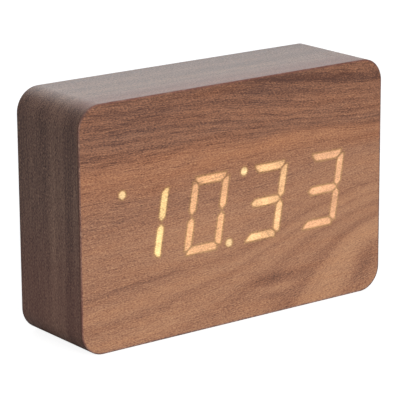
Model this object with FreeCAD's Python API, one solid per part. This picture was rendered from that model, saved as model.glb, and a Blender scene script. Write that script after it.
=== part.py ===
import FreeCAD, Part
import math
import os

# A veneered wooden desk clock whose figures shine through its front, in millimetres.
# X runs to the right as seen from the front, Y from the front to the back, Z up.
# The origin is the middle of the base.

# Case and its veneer
case_width = 152.0
case_height = 100.0
case_depth = 43.0
corner_radius = 10.0
veneer = 0.6
arris = 0.2
front_wall = 6.0
side_wall = 9.0
pocket_radius = 16.0
ledge = 3.0
rebate_radius = 5.0
panel_recess = 1.5

# Figures: four of seven segments, a colon that leans more than they do, and one small dot
figure_row_inset = 31.15
figure_mid_x = -0.3
figure_drop = 1.7
figure_reach_share = 0.251
figure_rise = 14.0
figure_lean = 9.6
stroke = 3.0
mitre_gap = 0.45
upright_gap = 0.5
bar_gap = 0.3
segment_round = 0.5
round_limit_share = 0.4
dot_radius = 1.6
colon_rise = 14.2
colon_lean = 3.85
indicator_share = 0.368
lit_segments = {
    "hour_tens": "bc",
    "hour_units": "abcdef",
    "minute_tens": "abcdg",
    "minute_units": "abcdg",
}

# Display block behind the front veneer
film = 0.3
block_margin_x = 5.6
block_margin_z = 3.0
block_gap = 0.3
block_corner = 2.0
cavity_floor = 2.2
dot_floor_radius = 1.3
led_length = 2.0
led_width = 1.2
led_height = 0.8
led_place_share = 0.45

# Display board, its chip and its screws
board_thickness = 1.6
display_lap_x = 3.0
display_lap_z = 6.0
display_screw_inset = 23.35
board_screw_radius = 1.0
board_screw_head = 1.9
board_screw_head_height = 1.3
board_screw_length = 5.0
screw_ease = 0.04
hole_ease = 0.15

# Rear panel
panel_thickness = 2.0
panel_gap = 0.3
skirt_depth = 3.0
skirt_wall = 1.2
rib_wall = 1.2
panel_screw_inset = 5.0
panel_screw_radius = 1.3
panel_screw_head = 2.5
panel_screw_head_height = 1.3
panel_screw_length = 8.0
recess_width = 0.6
recess_length = 2.6
recess_depth = 0.8

# Control board, behind the rear panel
controls_side_gap = 7.0
controls_end_gap = 7.0
controls_bay_gap = 12.95
controls_depth = 9.0
board_corner = 2.0
boss_inset = 4.0
boss_radius = 2.6
controls_screw_length = 7.0

# Push buttons and the switches under them
button_pitch = 15.0
button_row_inset = 12.0
button_radius = 3.5
button_proud = 1.2
button_round = 0.5
button_gap = 0.2
button_flange = 0.9
button_flange_height = 1.1
button_stem_radius = 1.9
button_travel = 0.5
flange_gap = 0.3
tact_side = 6.0
tact_height = 3.5
plunger_radius = 1.75
plunger_ease = 0.08
plunger_proud = 1.5
plunger_inside = 0.8

# Slide switch
slide_out = 12.0
slide_rise = 4.0
slide_length = 12.0
slide_width = 6.5
slide_height = 6.5
knob_length = 3.0
knob_width = 2.6
knob_inside = 3.0
knob_proud = 1.0
knob_travel = 3.0
knob_gap = 0.3
knob_floor_gap = 0.3
knob_groove = 0.5

# Supply socket
socket_out = 12.0
socket_row_inset = 12.0
socket_side = 8.0
socket_collar_radius = 3.2
socket_collar_proud = 1.2
socket_bore_radius = 1.85
socket_floor = 1.5
socket_pin_radius = 0.65
socket_pin_back = 1.0
socket_gap = 0.3

# Sounder, microphone and temperature sensor
sounder_radius = 6.0
sounder_height = 8.0
sounder_port_radius = 1.2
sounder_port_depth = 1.5
sounder_out = 12.0
sounder_drop = 2.0
grille_hole_radius = 0.75
grille_ring_radius = 3.0
grille_ring_count = 6
microphone_radius = 3.0
microphone_height = 4.6
microphone_lip = 0.6
microphone_recess = 0.4
microphone_rise = 4.0
microphone_hole_radius = 0.75
sensor_out = 12.0
sensor_row_inset = 12.0
sensor_radius = 1.6
sensor_leg_radius = 0.3
sensor_leg_pitch = 1.8
sensor_leg_length = 4.0
vent_length = 8.0
vent_width = 1.2
vent_pitch = 2.6
vent_count = 3

# Chips, crystal, ribbon cable
leg_pitch = 1.27
leg_width = 0.45
leg_thickness = 0.2
leg_reach = 1.4
leg_foot = 0.7
chip_stand = 0.15
driver_length = 12.8
driver_width = 7.5
driver_height = 2.3
driver_leg_count = 10
driver_out = 20.0
controller_length = 17.9
controller_width = 7.5
controller_height = 2.3
controller_leg_count = 14
controller_drop = 16.0
crystal_radius = 1.0
crystal_length = 6.0
crystal_drop = 6.0
connector_length = 13.0
connector_width = 5.0
connector_height = 5.0
ribbon_width = 10.0
ribbon_thickness = 1.0
ribbon_bend = 3.0
ribbon_low_drop = 8.0
ribbon_high_rise = 16.0

# Battery bay in the rear panel, with its cells
bay_side_gap = 7.95
cell_radius = 5.25
cell_length = 44.5
cell_nub_radius = 1.9
cell_nub = 0.8
cell_round = 0.4
cell_gap = 0.4
cell_count = 3
cell_touch = 0.05
cell_to_door = 0.6
bay_wall = 1.4
cradle_width = 1.5
cradle_ease = 0.1
cradle_height = 3.0
cradle_out = 13.0

# Battery contacts and their leads
plate = 0.4
plate_side = 8.0
dimple = 0.5
dimple_radius = 2.2
dimple_top_radius = 1.4
leaf_rise = 3.0
leaf_length = 7.0
leaf_width = 5.0
tab_width = 2.4
tab_reach = 2.5
slit_ease = 0.1
lead_radius = 0.6
lead_inset = 4.0
lead_swing = 6.0
lead_clear = 2.4
bend_limit_share = 0.4

# Battery door
door_lap = 1.6
door_gap = 0.3
door_seat_gap = 0.2
door_corner = 2.0
rim_width = 1.2
rim_depth = 1.2
hook_width = 6.0
hook_out = 15.0
hook_reach = 1.8
hook_thickness = 1.2
hook_neck = 1.5
hook_gap = 0.3
hook_swing_room = 1.0
latch_width = 9.0
latch_slit = 0.8
latch_slit_length = 9.0
latch_leg = 1.2
latch_leg_depth = 2.8
latch_leg_inset = 0.4
latch_gap = 0.3
grip_count = 3
grip_width = 0.8
grip_height = 0.5
grip_pitch = 1.8
scoop_radius = 6.0
scoop_depth = 1.0
scoop_rise = 1.0

# Lets a cutting shape run past the face that it cuts
overrun = 1.0

# Levels along Y, from the front to the back
front_y = -case_depth / 2
back_y = case_depth / 2
core_front = front_y + veneer
core_back = back_y - veneer
pocket_floor = core_front + front_wall
panel_outer = back_y - panel_recess
panel_inner = panel_outer - panel_thickness
block_front = core_front + film
display_board_back = pocket_floor + board_thickness
controls_face = panel_inner - controls_depth
controls_back = controls_face - board_thickness

# Case sizes that follow from the ones above
mid_z = case_height / 2
core_width = case_width - 2 * veneer
core_height = case_height - 2 * veneer
core_radius = corner_radius - veneer
pocket_width = case_width - 2 * side_wall
pocket_height = case_height - 2 * side_wall
rebate_width = pocket_width + 2 * ledge
rebate_height = pocket_height + 2 * ledge

# Display sizes that follow from the case and its figures
figure_mid_z = mid_z - figure_drop
figure_pitch = (case_width - 2 * figure_row_inset) / (len(lit_segments) - 1)
figure_reach = figure_reach_share * figure_pitch
lean = math.tan(math.radians(figure_lean))
figure_half_width = figure_reach + stroke / 2
figure_half_height = figure_rise + stroke / 2
row_half_width = 1.5 * figure_pitch + figure_half_width + figure_half_height * lean
block_width = 2 * (row_half_width + block_margin_x)
block_height = 2 * (figure_half_height + block_margin_z)
window_width = block_width + 2 * block_gap
window_height = block_height + 2 * block_gap
display_width = window_width + 2 * display_lap_x
display_height = window_height + 2 * display_lap_z
display_screw_out = display_width / 2 - display_screw_inset
display_screw_rise = (window_height + display_lap_z) / 2
figure_names = list(lit_segments)
figure_middles = [figure_mid_x + (k - 1.5) * figure_pitch for k in range(len(figure_names))]
colon_dots = [
    (figure_mid_x + side * colon_lean, figure_mid_z + side * colon_rise)
    for side in (-1, 1)
]
indicator_dot = (figure_middles[0] - indicator_share * figure_pitch, figure_mid_z + colon_rise)

# Battery bay and door sizes that follow from the cells and their contacts
bay_length = cell_length + leaf_rise + dimple + 2 * plate + 2 * cell_touch
cell_pitch = 2 * cell_radius + cell_gap
bay_height = cell_count * cell_pitch + cell_gap
door_width = bay_length + 2 * door_lap
door_height = bay_height + 2 * door_lap
bay_mid_x = pocket_width / 2 - bay_side_gap - door_width / 2
bay_mid_z = mid_z
bay_left = bay_mid_x - bay_length / 2
bay_right = bay_mid_x + bay_length / 2
bay_bottom = bay_mid_z - bay_height / 2
bay_top = bay_mid_z + bay_height / 2
door_inner = panel_inner + door_seat_gap
door_bottom = bay_mid_z - door_height / 2
door_top = bay_mid_z + door_height / 2
cell_y = door_inner - cell_to_door - cell_radius
bay_floor = cell_y - cell_radius - cradle_ease - bay_wall / 2
bay_back = bay_floor - bay_wall
cell_rows = [bay_mid_z + (k - (cell_count - 1) / 2) * cell_pitch for k in range(cell_count)]

# Control board between the side of the pocket and the battery door
controls_left = controls_side_gap - pocket_width / 2
controls_right = bay_mid_x - door_width / 2 - controls_bay_gap
controls_width = controls_right - controls_left
controls_height = pocket_height - 2 * controls_end_gap
controls_mid_x = (controls_left + controls_right) / 2
controls_mid_z = mid_z

# Places of the controls
button_z = controls_mid_z + controls_height / 2 - button_row_inset
button_places = {
    name: (controls_mid_x + (k - 1) * button_pitch, button_z)
    for k, name in enumerate(("set", "down", "up"))
}
socket_z = controls_mid_z - controls_height / 2 + socket_row_inset
sensor_z = controls_mid_z - controls_height / 2 + sensor_row_inset
slide_place = (controls_mid_x - slide_out, controls_mid_z + slide_rise)
socket_place = (controls_mid_x - socket_out, socket_z)
sounder_place = (controls_mid_x + sounder_out, controls_mid_z - sounder_drop)
microphone_place = (controls_mid_x, controls_mid_z + microphone_rise)
sensor_place = (controls_mid_x + sensor_out, sensor_z)
ribbon_low_z = mid_z - ribbon_low_drop
ribbon_high_z = mid_z + ribbon_high_rise


def vec(x, y, z):
    return FreeCAD.Vector(x, y, z)


def box(x_low, x_high, y_low, y_high, z_low, z_high):
    """A block between two corners."""
    return Part.makeBox(x_high - x_low, y_high - y_low, z_high - z_low, vec(x_low, y_low, z_low))


def disc(place, radius, y_low, y_high):
    """A round bar along Y at a place (x, z)."""
    return Part.makeCylinder(radius, y_high - y_low, vec(place[0], y_low, place[1]), vec(0, 1, 0))


def ring_line(points, y, radius):
    """A closed line through corners (x, z) in the plane at y, each corner rounded."""
    corners = [vec(x, y, z) for x, z in points]
    edges = []
    ends = []
    for index, corner in enumerate(corners):
        before = corners[index - 1] - corner
        after = corners[(index + 1) % len(corners)] - corner
        half_angle = before.getAngle(after) / 2
        room = round_limit_share * min(before.Length, after.Length)
        run = min(radius / math.tan(half_angle), room)
        if run <= 0:
            ends.append((corner, corner))
            continue
        before.normalize()
        after.normalize()
        start = corner + before * run
        finish = corner + after * run
        inward = before + after
        inward.normalize()
        reach = run / math.cos(half_angle)
        bow = reach - run * math.tan(half_angle)
        edges.append(Part.Arc(start, corner + inward * bow, finish).toShape())
        ends.append((start, finish))
    for index, (_, finish) in enumerate(ends):
        start = ends[(index + 1) % len(ends)][0]
        if finish.distanceToPoint(start) > 0:
            edges.append(Part.LineSegment(finish, start).toShape())
    return Part.Wire(Part.__sortEdges__(edges))


def frame_points(width, height, mid):
    """The corners of a rectangle about a middle (x, z)."""
    signs = ((-1, -1), (1, -1), (1, 1), (-1, 1))
    return [(mid[0] + sx * width / 2, mid[1] + sz * height / 2) for sx, sz in signs]


def block(width, height, radius, y_low, y_high, mid):
    """A block along Y whose outline is a rectangle with round corners."""
    face = Part.Face(ring_line(frame_points(width, height, mid), y_low, radius))
    return face.extrude(vec(0, y_high - y_low, 0))


def prism(points, y_low, y_high, radius):
    """A block along Y with the given corners (x, z)."""
    face = Part.Face(ring_line(points, y_low, radius))
    return face.extrude(vec(0, y_high - y_low, 0))


def side_prism(points, x_low, x_high):
    """A block along X with the given corners (y, z)."""
    corners = [vec(x_low, y, z) for y, z in points]
    wire = Part.makePolygon(corners + corners[:1])
    return Part.Face(wire).extrude(vec(x_high - x_low, 0, 0))


def turned(profile, place):
    """A solid turned about the line along Y at a place (x, z), from a profile of edges."""
    face = Part.Face(Part.Wire(Part.__sortEdges__(profile)))
    solid = face.revolve(vec(0, 0, 0), vec(0, 1, 0), 360)
    solid.translate(vec(place[0], 0, place[1]))
    return solid


def straight_edges(points):
    """Edges that join points (x, y) in order, in the plane at z 0."""
    corners = [vec(x, y, 0) for x, y in points]
    return [Part.LineSegment(a, b).toShape() for a, b in zip(corners, corners[1:])]


def joined(shapes):
    """One solid from several that touch or overlap."""
    shapes = list(shapes)
    whole = shapes[0].fuse(shapes[1:]) if len(shapes) > 1 else shapes[0]
    return whole.removeSplitter()


def group(shapes):
    """Separate solids kept in one node."""
    return Part.makeCompound(list(shapes))


def mid(place_x, place_z):
    return (place_x, place_z)


case_mid = mid(0, mid_z)
display_mid = mid(figure_mid_x, figure_mid_z)
controls_mid = mid(controls_mid_x, controls_mid_z)
bay_mid = mid(bay_mid_x, bay_mid_z)


def segment_corners(letter, width):
    """One segment's corners about its figure's middle, before the figure leans."""
    half = width / 2
    cut = mitre_gap / math.sqrt(2)
    far = figure_reach + half - cut
    near = figure_reach - half - cut
    bar = [
        (-far, figure_rise + half),
        (far, figure_rise + half),
        (near, figure_rise - half),
        (-near, figure_rise - half),
    ]
    upright = [
        (figure_reach + half, figure_rise + half - cut),
        (figure_reach + half, half + upright_gap),
        (figure_reach, upright_gap),
        (figure_reach - half, half + upright_gap),
        (figure_reach - half, figure_rise - half - cut),
    ]
    tip = figure_reach - bar_gap
    middle = [
        (-tip, 0),
        (-tip + half, half),
        (tip - half, half),
        (tip, 0),
        (tip - half, -half),
        (-tip + half, -half),
    ]
    shapes = {
        "a": (bar, 1, 1),
        "b": (upright, 1, 1),
        "c": (upright, 1, -1),
        "d": (bar, 1, -1),
        "e": (upright, -1, -1),
        "f": (upright, -1, 1),
        "g": (middle, 1, 1),
    }
    points, side_x, side_z = shapes[letter]
    return [(side_x * x, side_z * z) for x, z in points]


def leaning(points, figure_x):
    """Points about a figure's middle, leant over and moved to the figure's place."""
    return [(figure_x + x + z * lean, figure_mid_z + z) for x, z in points]


def lit_places():
    """The figure and letter of each segment that is lit."""
    for name, figure_x in zip(figure_names, figure_middles):
        for letter in lit_segments[name]:
            yield name, figure_x, letter


def lit_piece(figure_x, letter, y_low, y_high):
    points = leaning(segment_corners(letter, stroke), figure_x)
    return prism(points, y_low, y_high, segment_round)


def lit_figure(wanted):
    """The lit parts of the front sheet that make one figure."""
    return group(
        lit_piece(figure_x, letter, front_y, core_front)
        for name, figure_x, letter in lit_places()
        if name == wanted
    )


def lit_dots(places):
    return group(disc(place, dot_radius, front_y, core_front) for place in places)


def front_veneer():
    """The front sheet, with an opening where each lit part of it is."""
    sheet = block(core_width, core_height, core_radius, front_y, core_front, case_mid)
    start, end = front_y - overrun, core_front + overrun
    holes = [lit_piece(figure_x, letter, start, end) for _, figure_x, letter in lit_places()]
    holes += [disc(place, dot_radius, start, end) for place in colon_dots + [indicator_dot]]
    return sheet.cut(holes)


def banding():
    """The veneer all round the case, with its sharp outer edges taken off."""
    whole = block(case_width, case_height, corner_radius, front_y, back_y, case_mid)
    rim = [edge for edge in whole.Edges if edge.BoundBox.YLength < veneer]
    whole = whole.makeChamfer(arris, rim)
    start, end = front_y - overrun, back_y + overrun
    return whole.cut(block(core_width, core_height, core_radius, start, end, case_mid))


def base_zone():
    """The space of the flat strip under the case, between its round corners."""
    half = case_width / 2 - corner_radius
    return box(-half, half, front_y - overrun, back_y + overrun, -overrun, veneer)


def wrap_veneer():
    return banding().cut(base_zone())


def base_veneer():
    return banding().common(base_zone())


def back_veneer():
    sheet = block(core_width, core_height, core_radius, core_back, back_y, case_mid)
    start, end = core_back - overrun, back_y + overrun
    return sheet.cut(block(rebate_width, rebate_height, rebate_radius, start, end, case_mid))


def display_screw_places():
    """Places (x, z) of the display board's screws, above and below the window."""
    return [
        (figure_mid_x + side * display_screw_out, figure_mid_z + up * display_screw_rise)
        for side in (-1, 1)
        for up in (-1, 1)
    ]


def panel_screw_places():
    half_width = rebate_width / 2 - panel_screw_inset
    half_height = rebate_height / 2 - panel_screw_inset
    return [(sx * half_width, mid_z + sz * half_height) for sx in (-1, 1) for sz in (-1, 1)]


def controls_screw_places():
    half_width = controls_width / 2 - boss_inset
    half_height = controls_height / 2 - boss_inset
    return [
        (controls_mid_x + sx * half_width, controls_mid_z + sz * half_height)
        for sx in (-1, 1)
        for sz in (-1, 1)
    ]


def case_body():
    """The core, pocketed from behind, with a window for the display and a seat for the panel."""
    core = block(core_width, core_height, core_radius, core_front, core_back, case_mid)
    beyond = core_back + overrun
    cuts = [
        block(pocket_width, pocket_height, pocket_radius, pocket_floor, beyond, case_mid),
        block(rebate_width, rebate_height, rebate_radius, panel_inner, beyond, case_mid),
        block(
            window_width,
            window_height,
            block_corner + block_gap,
            core_front - overrun,
            pocket_floor + overrun,
            display_mid,
        ),
    ]
    display_depth = board_screw_length - board_thickness + screw_ease
    for place in display_screw_places():
        bore = board_screw_radius + screw_ease
        cuts.append(disc(place, bore, pocket_floor - display_depth, pocket_floor + overrun))
    panel_depth = panel_screw_length - panel_thickness + screw_ease
    for place in panel_screw_places():
        bore = panel_screw_radius + screw_ease
        cuts.append(disc(place, bore, panel_inner - panel_depth, panel_inner + overrun))
    return core.cut(cuts)


def diffuser_film():
    return block(block_width, block_height, block_corner, core_front, block_front, display_mid)


def cavity(figure_x, letter):
    """A segment's light well, wider at the front than at the board."""
    front = ring_line(leaning(segment_corners(letter, stroke), figure_x), block_front, 0)
    floor = ring_line(leaning(segment_corners(letter, cavity_floor), figure_x), pocket_floor, 0)
    return Part.makeLoft([front, floor], True, True)


def dot_cavity(place):
    depth = pocket_floor - block_front
    start = vec(place[0], block_front, place[1])
    return Part.makeCone(dot_radius, dot_floor_radius, depth, start, vec(0, 1, 0))


def display_reflector():
    """The white block whose tapered wells carry each segment's light to the front."""
    body = block(block_width, block_height, block_corner, block_front, pocket_floor, display_mid)
    wells = [cavity(figure_x, letter) for figure_x in figure_middles for letter in "abcdefg"]
    wells += [dot_cavity(place) for place in colon_dots + [indicator_dot]]
    return body.cut(wells)


def led_at(place, upright):
    """One light on the display board, with its long side along its segment."""
    size_x, size_z = (led_width, led_length) if upright else (led_length, led_width)
    x, z = place
    y_low = pocket_floor - led_height
    return box(x - size_x / 2, x + size_x / 2, y_low, pocket_floor, z - size_z / 2, z + size_z / 2)


def display_leds():
    """Two lights for each segment and one for each dot."""
    along = led_place_share * figure_reach
    rise_low = figure_rise / 2 - along
    rise_high = figure_rise / 2 + along
    pairs = {"a": figure_rise, "g": 0, "d": -figure_rise}
    lights = []
    for figure_x in figure_middles:
        for level in pairs.values():
            for place in leaning([(-along, level), (along, level)], figure_x):
                lights.append(led_at(place, False))
        for side in (-1, 1):
            levels = (rise_high, rise_low, -rise_low, -rise_high)
            for place in leaning([(side * figure_reach, z) for z in levels], figure_x):
                lights.append(led_at(place, True))
    lights += [led_at(place, False) for place in colon_dots + [indicator_dot]]
    return group(lights)


def display_board():
    board = block(
        display_width, display_height, board_corner, pocket_floor, display_board_back, display_mid
    )
    start, end = pocket_floor - overrun, display_board_back + overrun
    bore = board_screw_radius + hole_ease
    return board.cut([disc(place, bore, start, end) for place in display_screw_places()])


def pan_screw(place, head_y, length, direction):
    """A pan head screw; its head stands on the face at head_y and it points along Y."""
    head = board_screw_head
    height = board_screw_head_height
    crown = height / 3
    shank = board_screw_radius
    profile = straight_edges(
        [
            (head, -height + crown),
            (head, 0),
            (shank, 0),
            (shank, length - shank / 2),
            (shank / 2, length),
            (0, length),
            (0, -height),
        ]
    )
    bow = vec(head * math.sqrt(3) / 2, -height + crown / 2, 0)
    top = Part.Arc(vec(0, -height, 0), bow, vec(head, -height + crown, 0)).toShape()
    screw = turned(profile + [top], (0, 0))
    half = recess_width / 2
    reach = recess_length / 2
    low = -height - overrun
    high = -height + recess_depth
    slots = [box(-reach, reach, low, high, -half, half), box(-half, half, low, high, -reach, reach)]
    screw = screw.cut(slots)
    if direction < 0:
        screw.rotate(vec(0, 0, 0), vec(0, 0, 1), 180)
    screw.translate(vec(place[0], head_y, place[1]))
    return screw


def display_screws():
    return group(
        pan_screw(place, display_board_back, board_screw_length, -1)
        for place in display_screw_places()
    )


def controls_screws():
    return group(
        pan_screw(place, controls_back, controls_screw_length, 1)
        for place in controls_screw_places()
    )


def panel_screw(place):
    """A countersunk screw, flush with the rear panel and pointing forward."""
    head = panel_screw_head
    height = panel_screw_head_height
    shank = panel_screw_radius
    length = panel_screw_length
    profile = straight_edges(
        [
            (0, 0),
            (head, 0),
            (shank, -height),
            (shank, -length + shank / 2),
            (shank / 2, -length),
            (0, -length),
            (0, 0),
        ]
    )
    screw = turned(profile, (0, 0))
    half = recess_width / 2
    reach = recess_length / 2
    low = -recess_depth
    slots = [
        box(-reach, reach, low, overrun, -half, half),
        box(-half, half, low, overrun, -reach, reach),
    ]
    screw = screw.cut(slots)
    screw.translate(vec(place[0], panel_outer, place[1]))
    return screw


def panel_screws():
    return group(panel_screw(place) for place in panel_screw_places())


def chip(mid_place, length, width, height, leg_count, board_y, outward):
    """A chip with bent legs along its two long sides, on the face of a board at board_y."""
    x, z = mid_place
    near = chip_stand
    body = box(-length / 2, length / 2, near, height, -width / 2, width / 2)
    waist = (near + height) / 2
    half = leg_thickness / 2
    step = (leg_reach - leg_foot) / 2
    side = width / 2
    bent = [
        (waist + half, side),
        (waist + half, side + step + half),
        (leg_thickness, side + 2 * step),
        (leg_thickness, side + leg_reach),
        (0, side + leg_reach),
        (0, side + 2 * step - half),
        (waist - half, side + step - half),
        (waist - half, side),
    ]
    parts = [body]
    for index in range(leg_count):
        leg_x = (index - (leg_count - 1) / 2) * leg_pitch
        leg = side_prism(bent, leg_x - leg_width / 2, leg_x + leg_width / 2)
        parts.append(leg)
        parts.append(leg.mirror(vec(0, 0, 0), vec(0, 0, 1)))
    whole = joined(parts)
    if outward < 0:
        whole = whole.mirror(vec(0, 0, 0), vec(0, 1, 0))
    whole.translate(vec(x, board_y, z))
    return whole


def display_driver():
    place = (figure_mid_x + driver_out, figure_mid_z)
    return chip(
        place, driver_length, driver_width, driver_height, driver_leg_count, display_board_back, 1
    )


def controller_chip():
    place = (controls_mid_x, controls_mid_z - controller_drop)
    return chip(
        place,
        controller_length,
        controller_width,
        controller_height,
        controller_leg_count,
        controls_back,
        -1,
    )


def clock_crystal():
    """A small can that lies on the control board."""
    start = vec(controls_mid_x - crystal_length / 2, controls_back - crystal_radius,
                controls_mid_z - crystal_drop)
    return Part.makeCylinder(crystal_radius, crystal_length, start, vec(1, 0, 0))


def control_board():
    board = block(
        controls_width, controls_height, board_corner, controls_back, controls_face, controls_mid
    )
    start, end = controls_back - overrun, controls_face + overrun
    bore = board_screw_radius + hole_ease
    return board.cut([disc(place, bore, start, end) for place in controls_screw_places()])


def connector_shell(y_low, y_high, place_z):
    return box(
        controls_mid_x - connector_length / 2,
        controls_mid_x + connector_length / 2,
        y_low,
        y_high,
        place_z - connector_width / 2,
        place_z + connector_width / 2,
    )


display_connector_end = display_board_back + connector_height
control_connector_end = controls_back - connector_height


def ribbon_connectors():
    low = connector_shell(display_board_back, display_connector_end, ribbon_low_z)
    high = connector_shell(control_connector_end, controls_back, ribbon_high_z)
    return group([low, high])


def ribbon_cable():
    """The flat cable, which leaves one connector, turns up, and turns into the other."""
    gap = control_connector_end - display_connector_end
    run = gap / 2 - ribbon_bend
    turn_y = display_connector_end + run
    diagonal = ribbon_bend * math.sqrt(2) / 2
    low_end = vec(controls_mid_x, display_connector_end, ribbon_low_z)
    low_turn = vec(controls_mid_x, turn_y, ribbon_low_z)
    low_bow = low_turn + vec(0, diagonal, ribbon_bend - diagonal)
    rise_start = low_turn + vec(0, ribbon_bend, ribbon_bend)
    high_end = vec(controls_mid_x, control_connector_end, ribbon_high_z)
    high_turn = vec(controls_mid_x, control_connector_end - run, ribbon_high_z)
    high_bow = high_turn - vec(0, diagonal, ribbon_bend - diagonal)
    rise_end = high_turn - vec(0, ribbon_bend, ribbon_bend)
    path = Part.Wire(
        [
            Part.LineSegment(low_end, low_turn).toShape(),
            Part.Arc(low_turn, low_bow, rise_start).toShape(),
            Part.LineSegment(rise_start, rise_end).toShape(),
            Part.Arc(rise_end, high_bow, high_turn).toShape(),
            Part.LineSegment(high_turn, high_end).toShape(),
        ]
    )
    section = ring_line(
        frame_points(ribbon_width, ribbon_thickness, (controls_mid_x, ribbon_low_z)),
        display_connector_end,
        0,
    )
    return path.makePipeShell([section], True, False)


def tact_switches():
    """The three push switches under the buttons, each with a bore for its plunger."""
    bodies = []
    bore_floor = controls_face + tact_height - plunger_inside - button_travel - plunger_ease
    for x, z in button_places.values():
        half = tact_side / 2
        top = controls_face + tact_height
        body = box(x - half, x + half, controls_face, top, z - half, z + half)
        bore = disc((x, z), plunger_radius + plunger_ease, bore_floor, top + overrun)
        bodies.append(body.cut(bore))
    return group(bodies)


plunger_top = controls_face + tact_height + plunger_proud


def switch_plunger(place):
    return disc(place, plunger_radius, plunger_top - plunger_proud - plunger_inside, plunger_top)


def push_button(place):
    """A button: a stem on the plunger, a flange behind the panel and a round-edged cap."""
    flange_top = panel_inner - flange_gap
    flange_low = flange_top - button_flange_height
    cap_top = panel_outer + button_proud
    flange_radius = button_radius + button_flange
    profile = straight_edges(
        [
            (button_radius, cap_top - button_round),
            (button_radius, flange_top),
            (flange_radius, flange_top),
            (flange_radius, flange_low),
            (button_stem_radius, flange_low),
            (button_stem_radius, plunger_top),
            (0, plunger_top),
            (0, cap_top),
            (button_radius - button_round, cap_top),
        ]
    )
    diagonal = button_round * (1 - math.sqrt(2) / 2)
    edge = Part.Arc(
        vec(button_radius - button_round, cap_top, 0),
        vec(button_radius - diagonal, cap_top - diagonal, 0),
        vec(button_radius, cap_top - button_round, 0),
    ).toShape()
    return turned(profile + [edge], place)


def slide_switch():
    """The slide switch's housing, with a slot along which its knob runs."""
    x, z = slide_place
    top = controls_face + slide_height
    half_length, half_width = slide_length / 2, slide_width / 2
    body = box(x - half_length, x + half_length, controls_face, top, z - half_width, z + half_width)
    half_slot = (knob_length + knob_travel) / 2 + knob_gap
    half_way = knob_width / 2 + knob_gap
    floor = top - knob_inside - knob_floor_gap
    slot = box(x - half_slot, x + half_slot, floor, top + overrun, z - half_way, z + half_way)
    return body.cut(slot)


def slide_knob():
    """The knob at one end of its slot, with grooves across its top."""
    x, z = slide_place
    left = x - (knob_length + knob_travel) / 2
    low = controls_face + slide_height - knob_inside
    top = panel_outer + knob_proud
    half_width = knob_width / 2
    knob = box(left, left + knob_length, low, top, z - half_width, z + half_width)
    grooves = []
    for share in (1 / 3, 2 / 3):
        groove_x = left + share * knob_length
        half = knob_groove / 2
        start, end = z - half_width - overrun, z + half_width + overrun
        grooves.append(box(groove_x - half, groove_x + half, top - half, top + overrun, start, end))
    return knob.cut(grooves)


def supply_socket():
    """The socket for the supply lead: a square body, a round collar and a blind bore."""
    x, z = socket_place
    half = socket_side / 2
    body = box(x - half, x + half, controls_face, panel_inner - socket_gap, z - half, z + half)
    end = panel_outer - panel_thickness + socket_collar_proud
    collar = disc(socket_place, socket_collar_radius, controls_face, end)
    bore = disc(socket_place, socket_bore_radius, controls_face + socket_floor, end + overrun)
    return joined([body, collar]).cut(bore)


def socket_pin():
    end = panel_inner + socket_collar_proud - socket_pin_back
    start = controls_face + socket_floor
    shaft_end = end - socket_pin_radius
    radius = socket_pin_radius
    profile = straight_edges([(radius, shaft_end), (radius, start), (0, start), (0, end)])
    diagonal = radius * math.sqrt(2) / 2
    nose = Part.Arc(
        vec(0, end, 0), vec(diagonal, shaft_end + diagonal, 0), vec(radius, shaft_end, 0)
    ).toShape()
    return turned(profile + [nose], socket_place)


def sounder():
    top = controls_face + sounder_height
    body = disc(sounder_place, sounder_radius, controls_face, top)
    port = disc(sounder_place, sounder_port_radius, top - sounder_port_depth, top + overrun)
    return body.cut(port)


def microphone():
    top = controls_face + microphone_height
    body = disc(microphone_place, microphone_radius, controls_face, top)
    felt_radius = microphone_radius - microphone_lip
    felt = disc(microphone_place, felt_radius, top - microphone_recess, top + overrun)
    return body.cut(felt)


def temperature_sensor():
    """A small bead on two legs, behind the vents."""
    x, z = sensor_place
    bead_y = controls_face + sensor_leg_length + sensor_radius / 2
    bead = Part.makeSphere(sensor_radius, vec(x, bead_y, z))
    legs = [
        disc((x + side * sensor_leg_pitch / 2, z), sensor_leg_radius, controls_face, bead_y)
        for side in (-1, 1)
    ]
    return joined([bead] + legs)


def rounded_frame(width, height, radius, wall, y_low, y_high, mid_place):
    """A thin wall that follows a rectangle with round corners."""
    outside = block(width, height, radius, y_low, y_high, mid_place)
    start, end = y_low - overrun, y_high + overrun
    inner_radius = max(radius - wall, 0)
    inside = block(width - 2 * wall, height - 2 * wall, inner_radius, start, end, mid_place)
    return outside.cut(inside)


rim_outer_width = door_width + 2 * (door_gap + rim_width)
rim_outer_height = door_height + 2 * (door_gap + rim_width)
tub_width = bay_length + 2 * bay_wall
tub_height = bay_height + 2 * bay_wall


def tub_solid():
    """The bay's outside: a tub behind the panel, and a rim that carries the door."""
    tub = block(tub_width, tub_height, door_corner, bay_back, panel_inner, bay_mid)
    rim_low = panel_inner - rim_depth
    rim = block(rim_outer_width, rim_outer_height, door_corner, rim_low, panel_inner, bay_mid)
    return [tub, rim]


def stiffening_ribs():
    """Low ribs from the bay to the skirt, above and below it."""
    low = panel_inner - skirt_depth
    skirt_reach = pocket_height / 2 - panel_gap - skirt_wall / 2
    ribs = []
    for share in (-1 / 3, 1 / 3):
        x = bay_mid_x + share * bay_length
        left, right = x - rib_wall / 2, x + rib_wall / 2
        tub_edge = tub_height / 2 - bay_wall / 2
        ribs.append(
            box(left, right, low, panel_inner, bay_mid_z + tub_edge, mid_z + skirt_reach)
        )
        ribs.append(
            box(left, right, low, panel_inner, mid_z - skirt_reach, bay_mid_z - tub_edge)
        )
    return ribs


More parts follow.
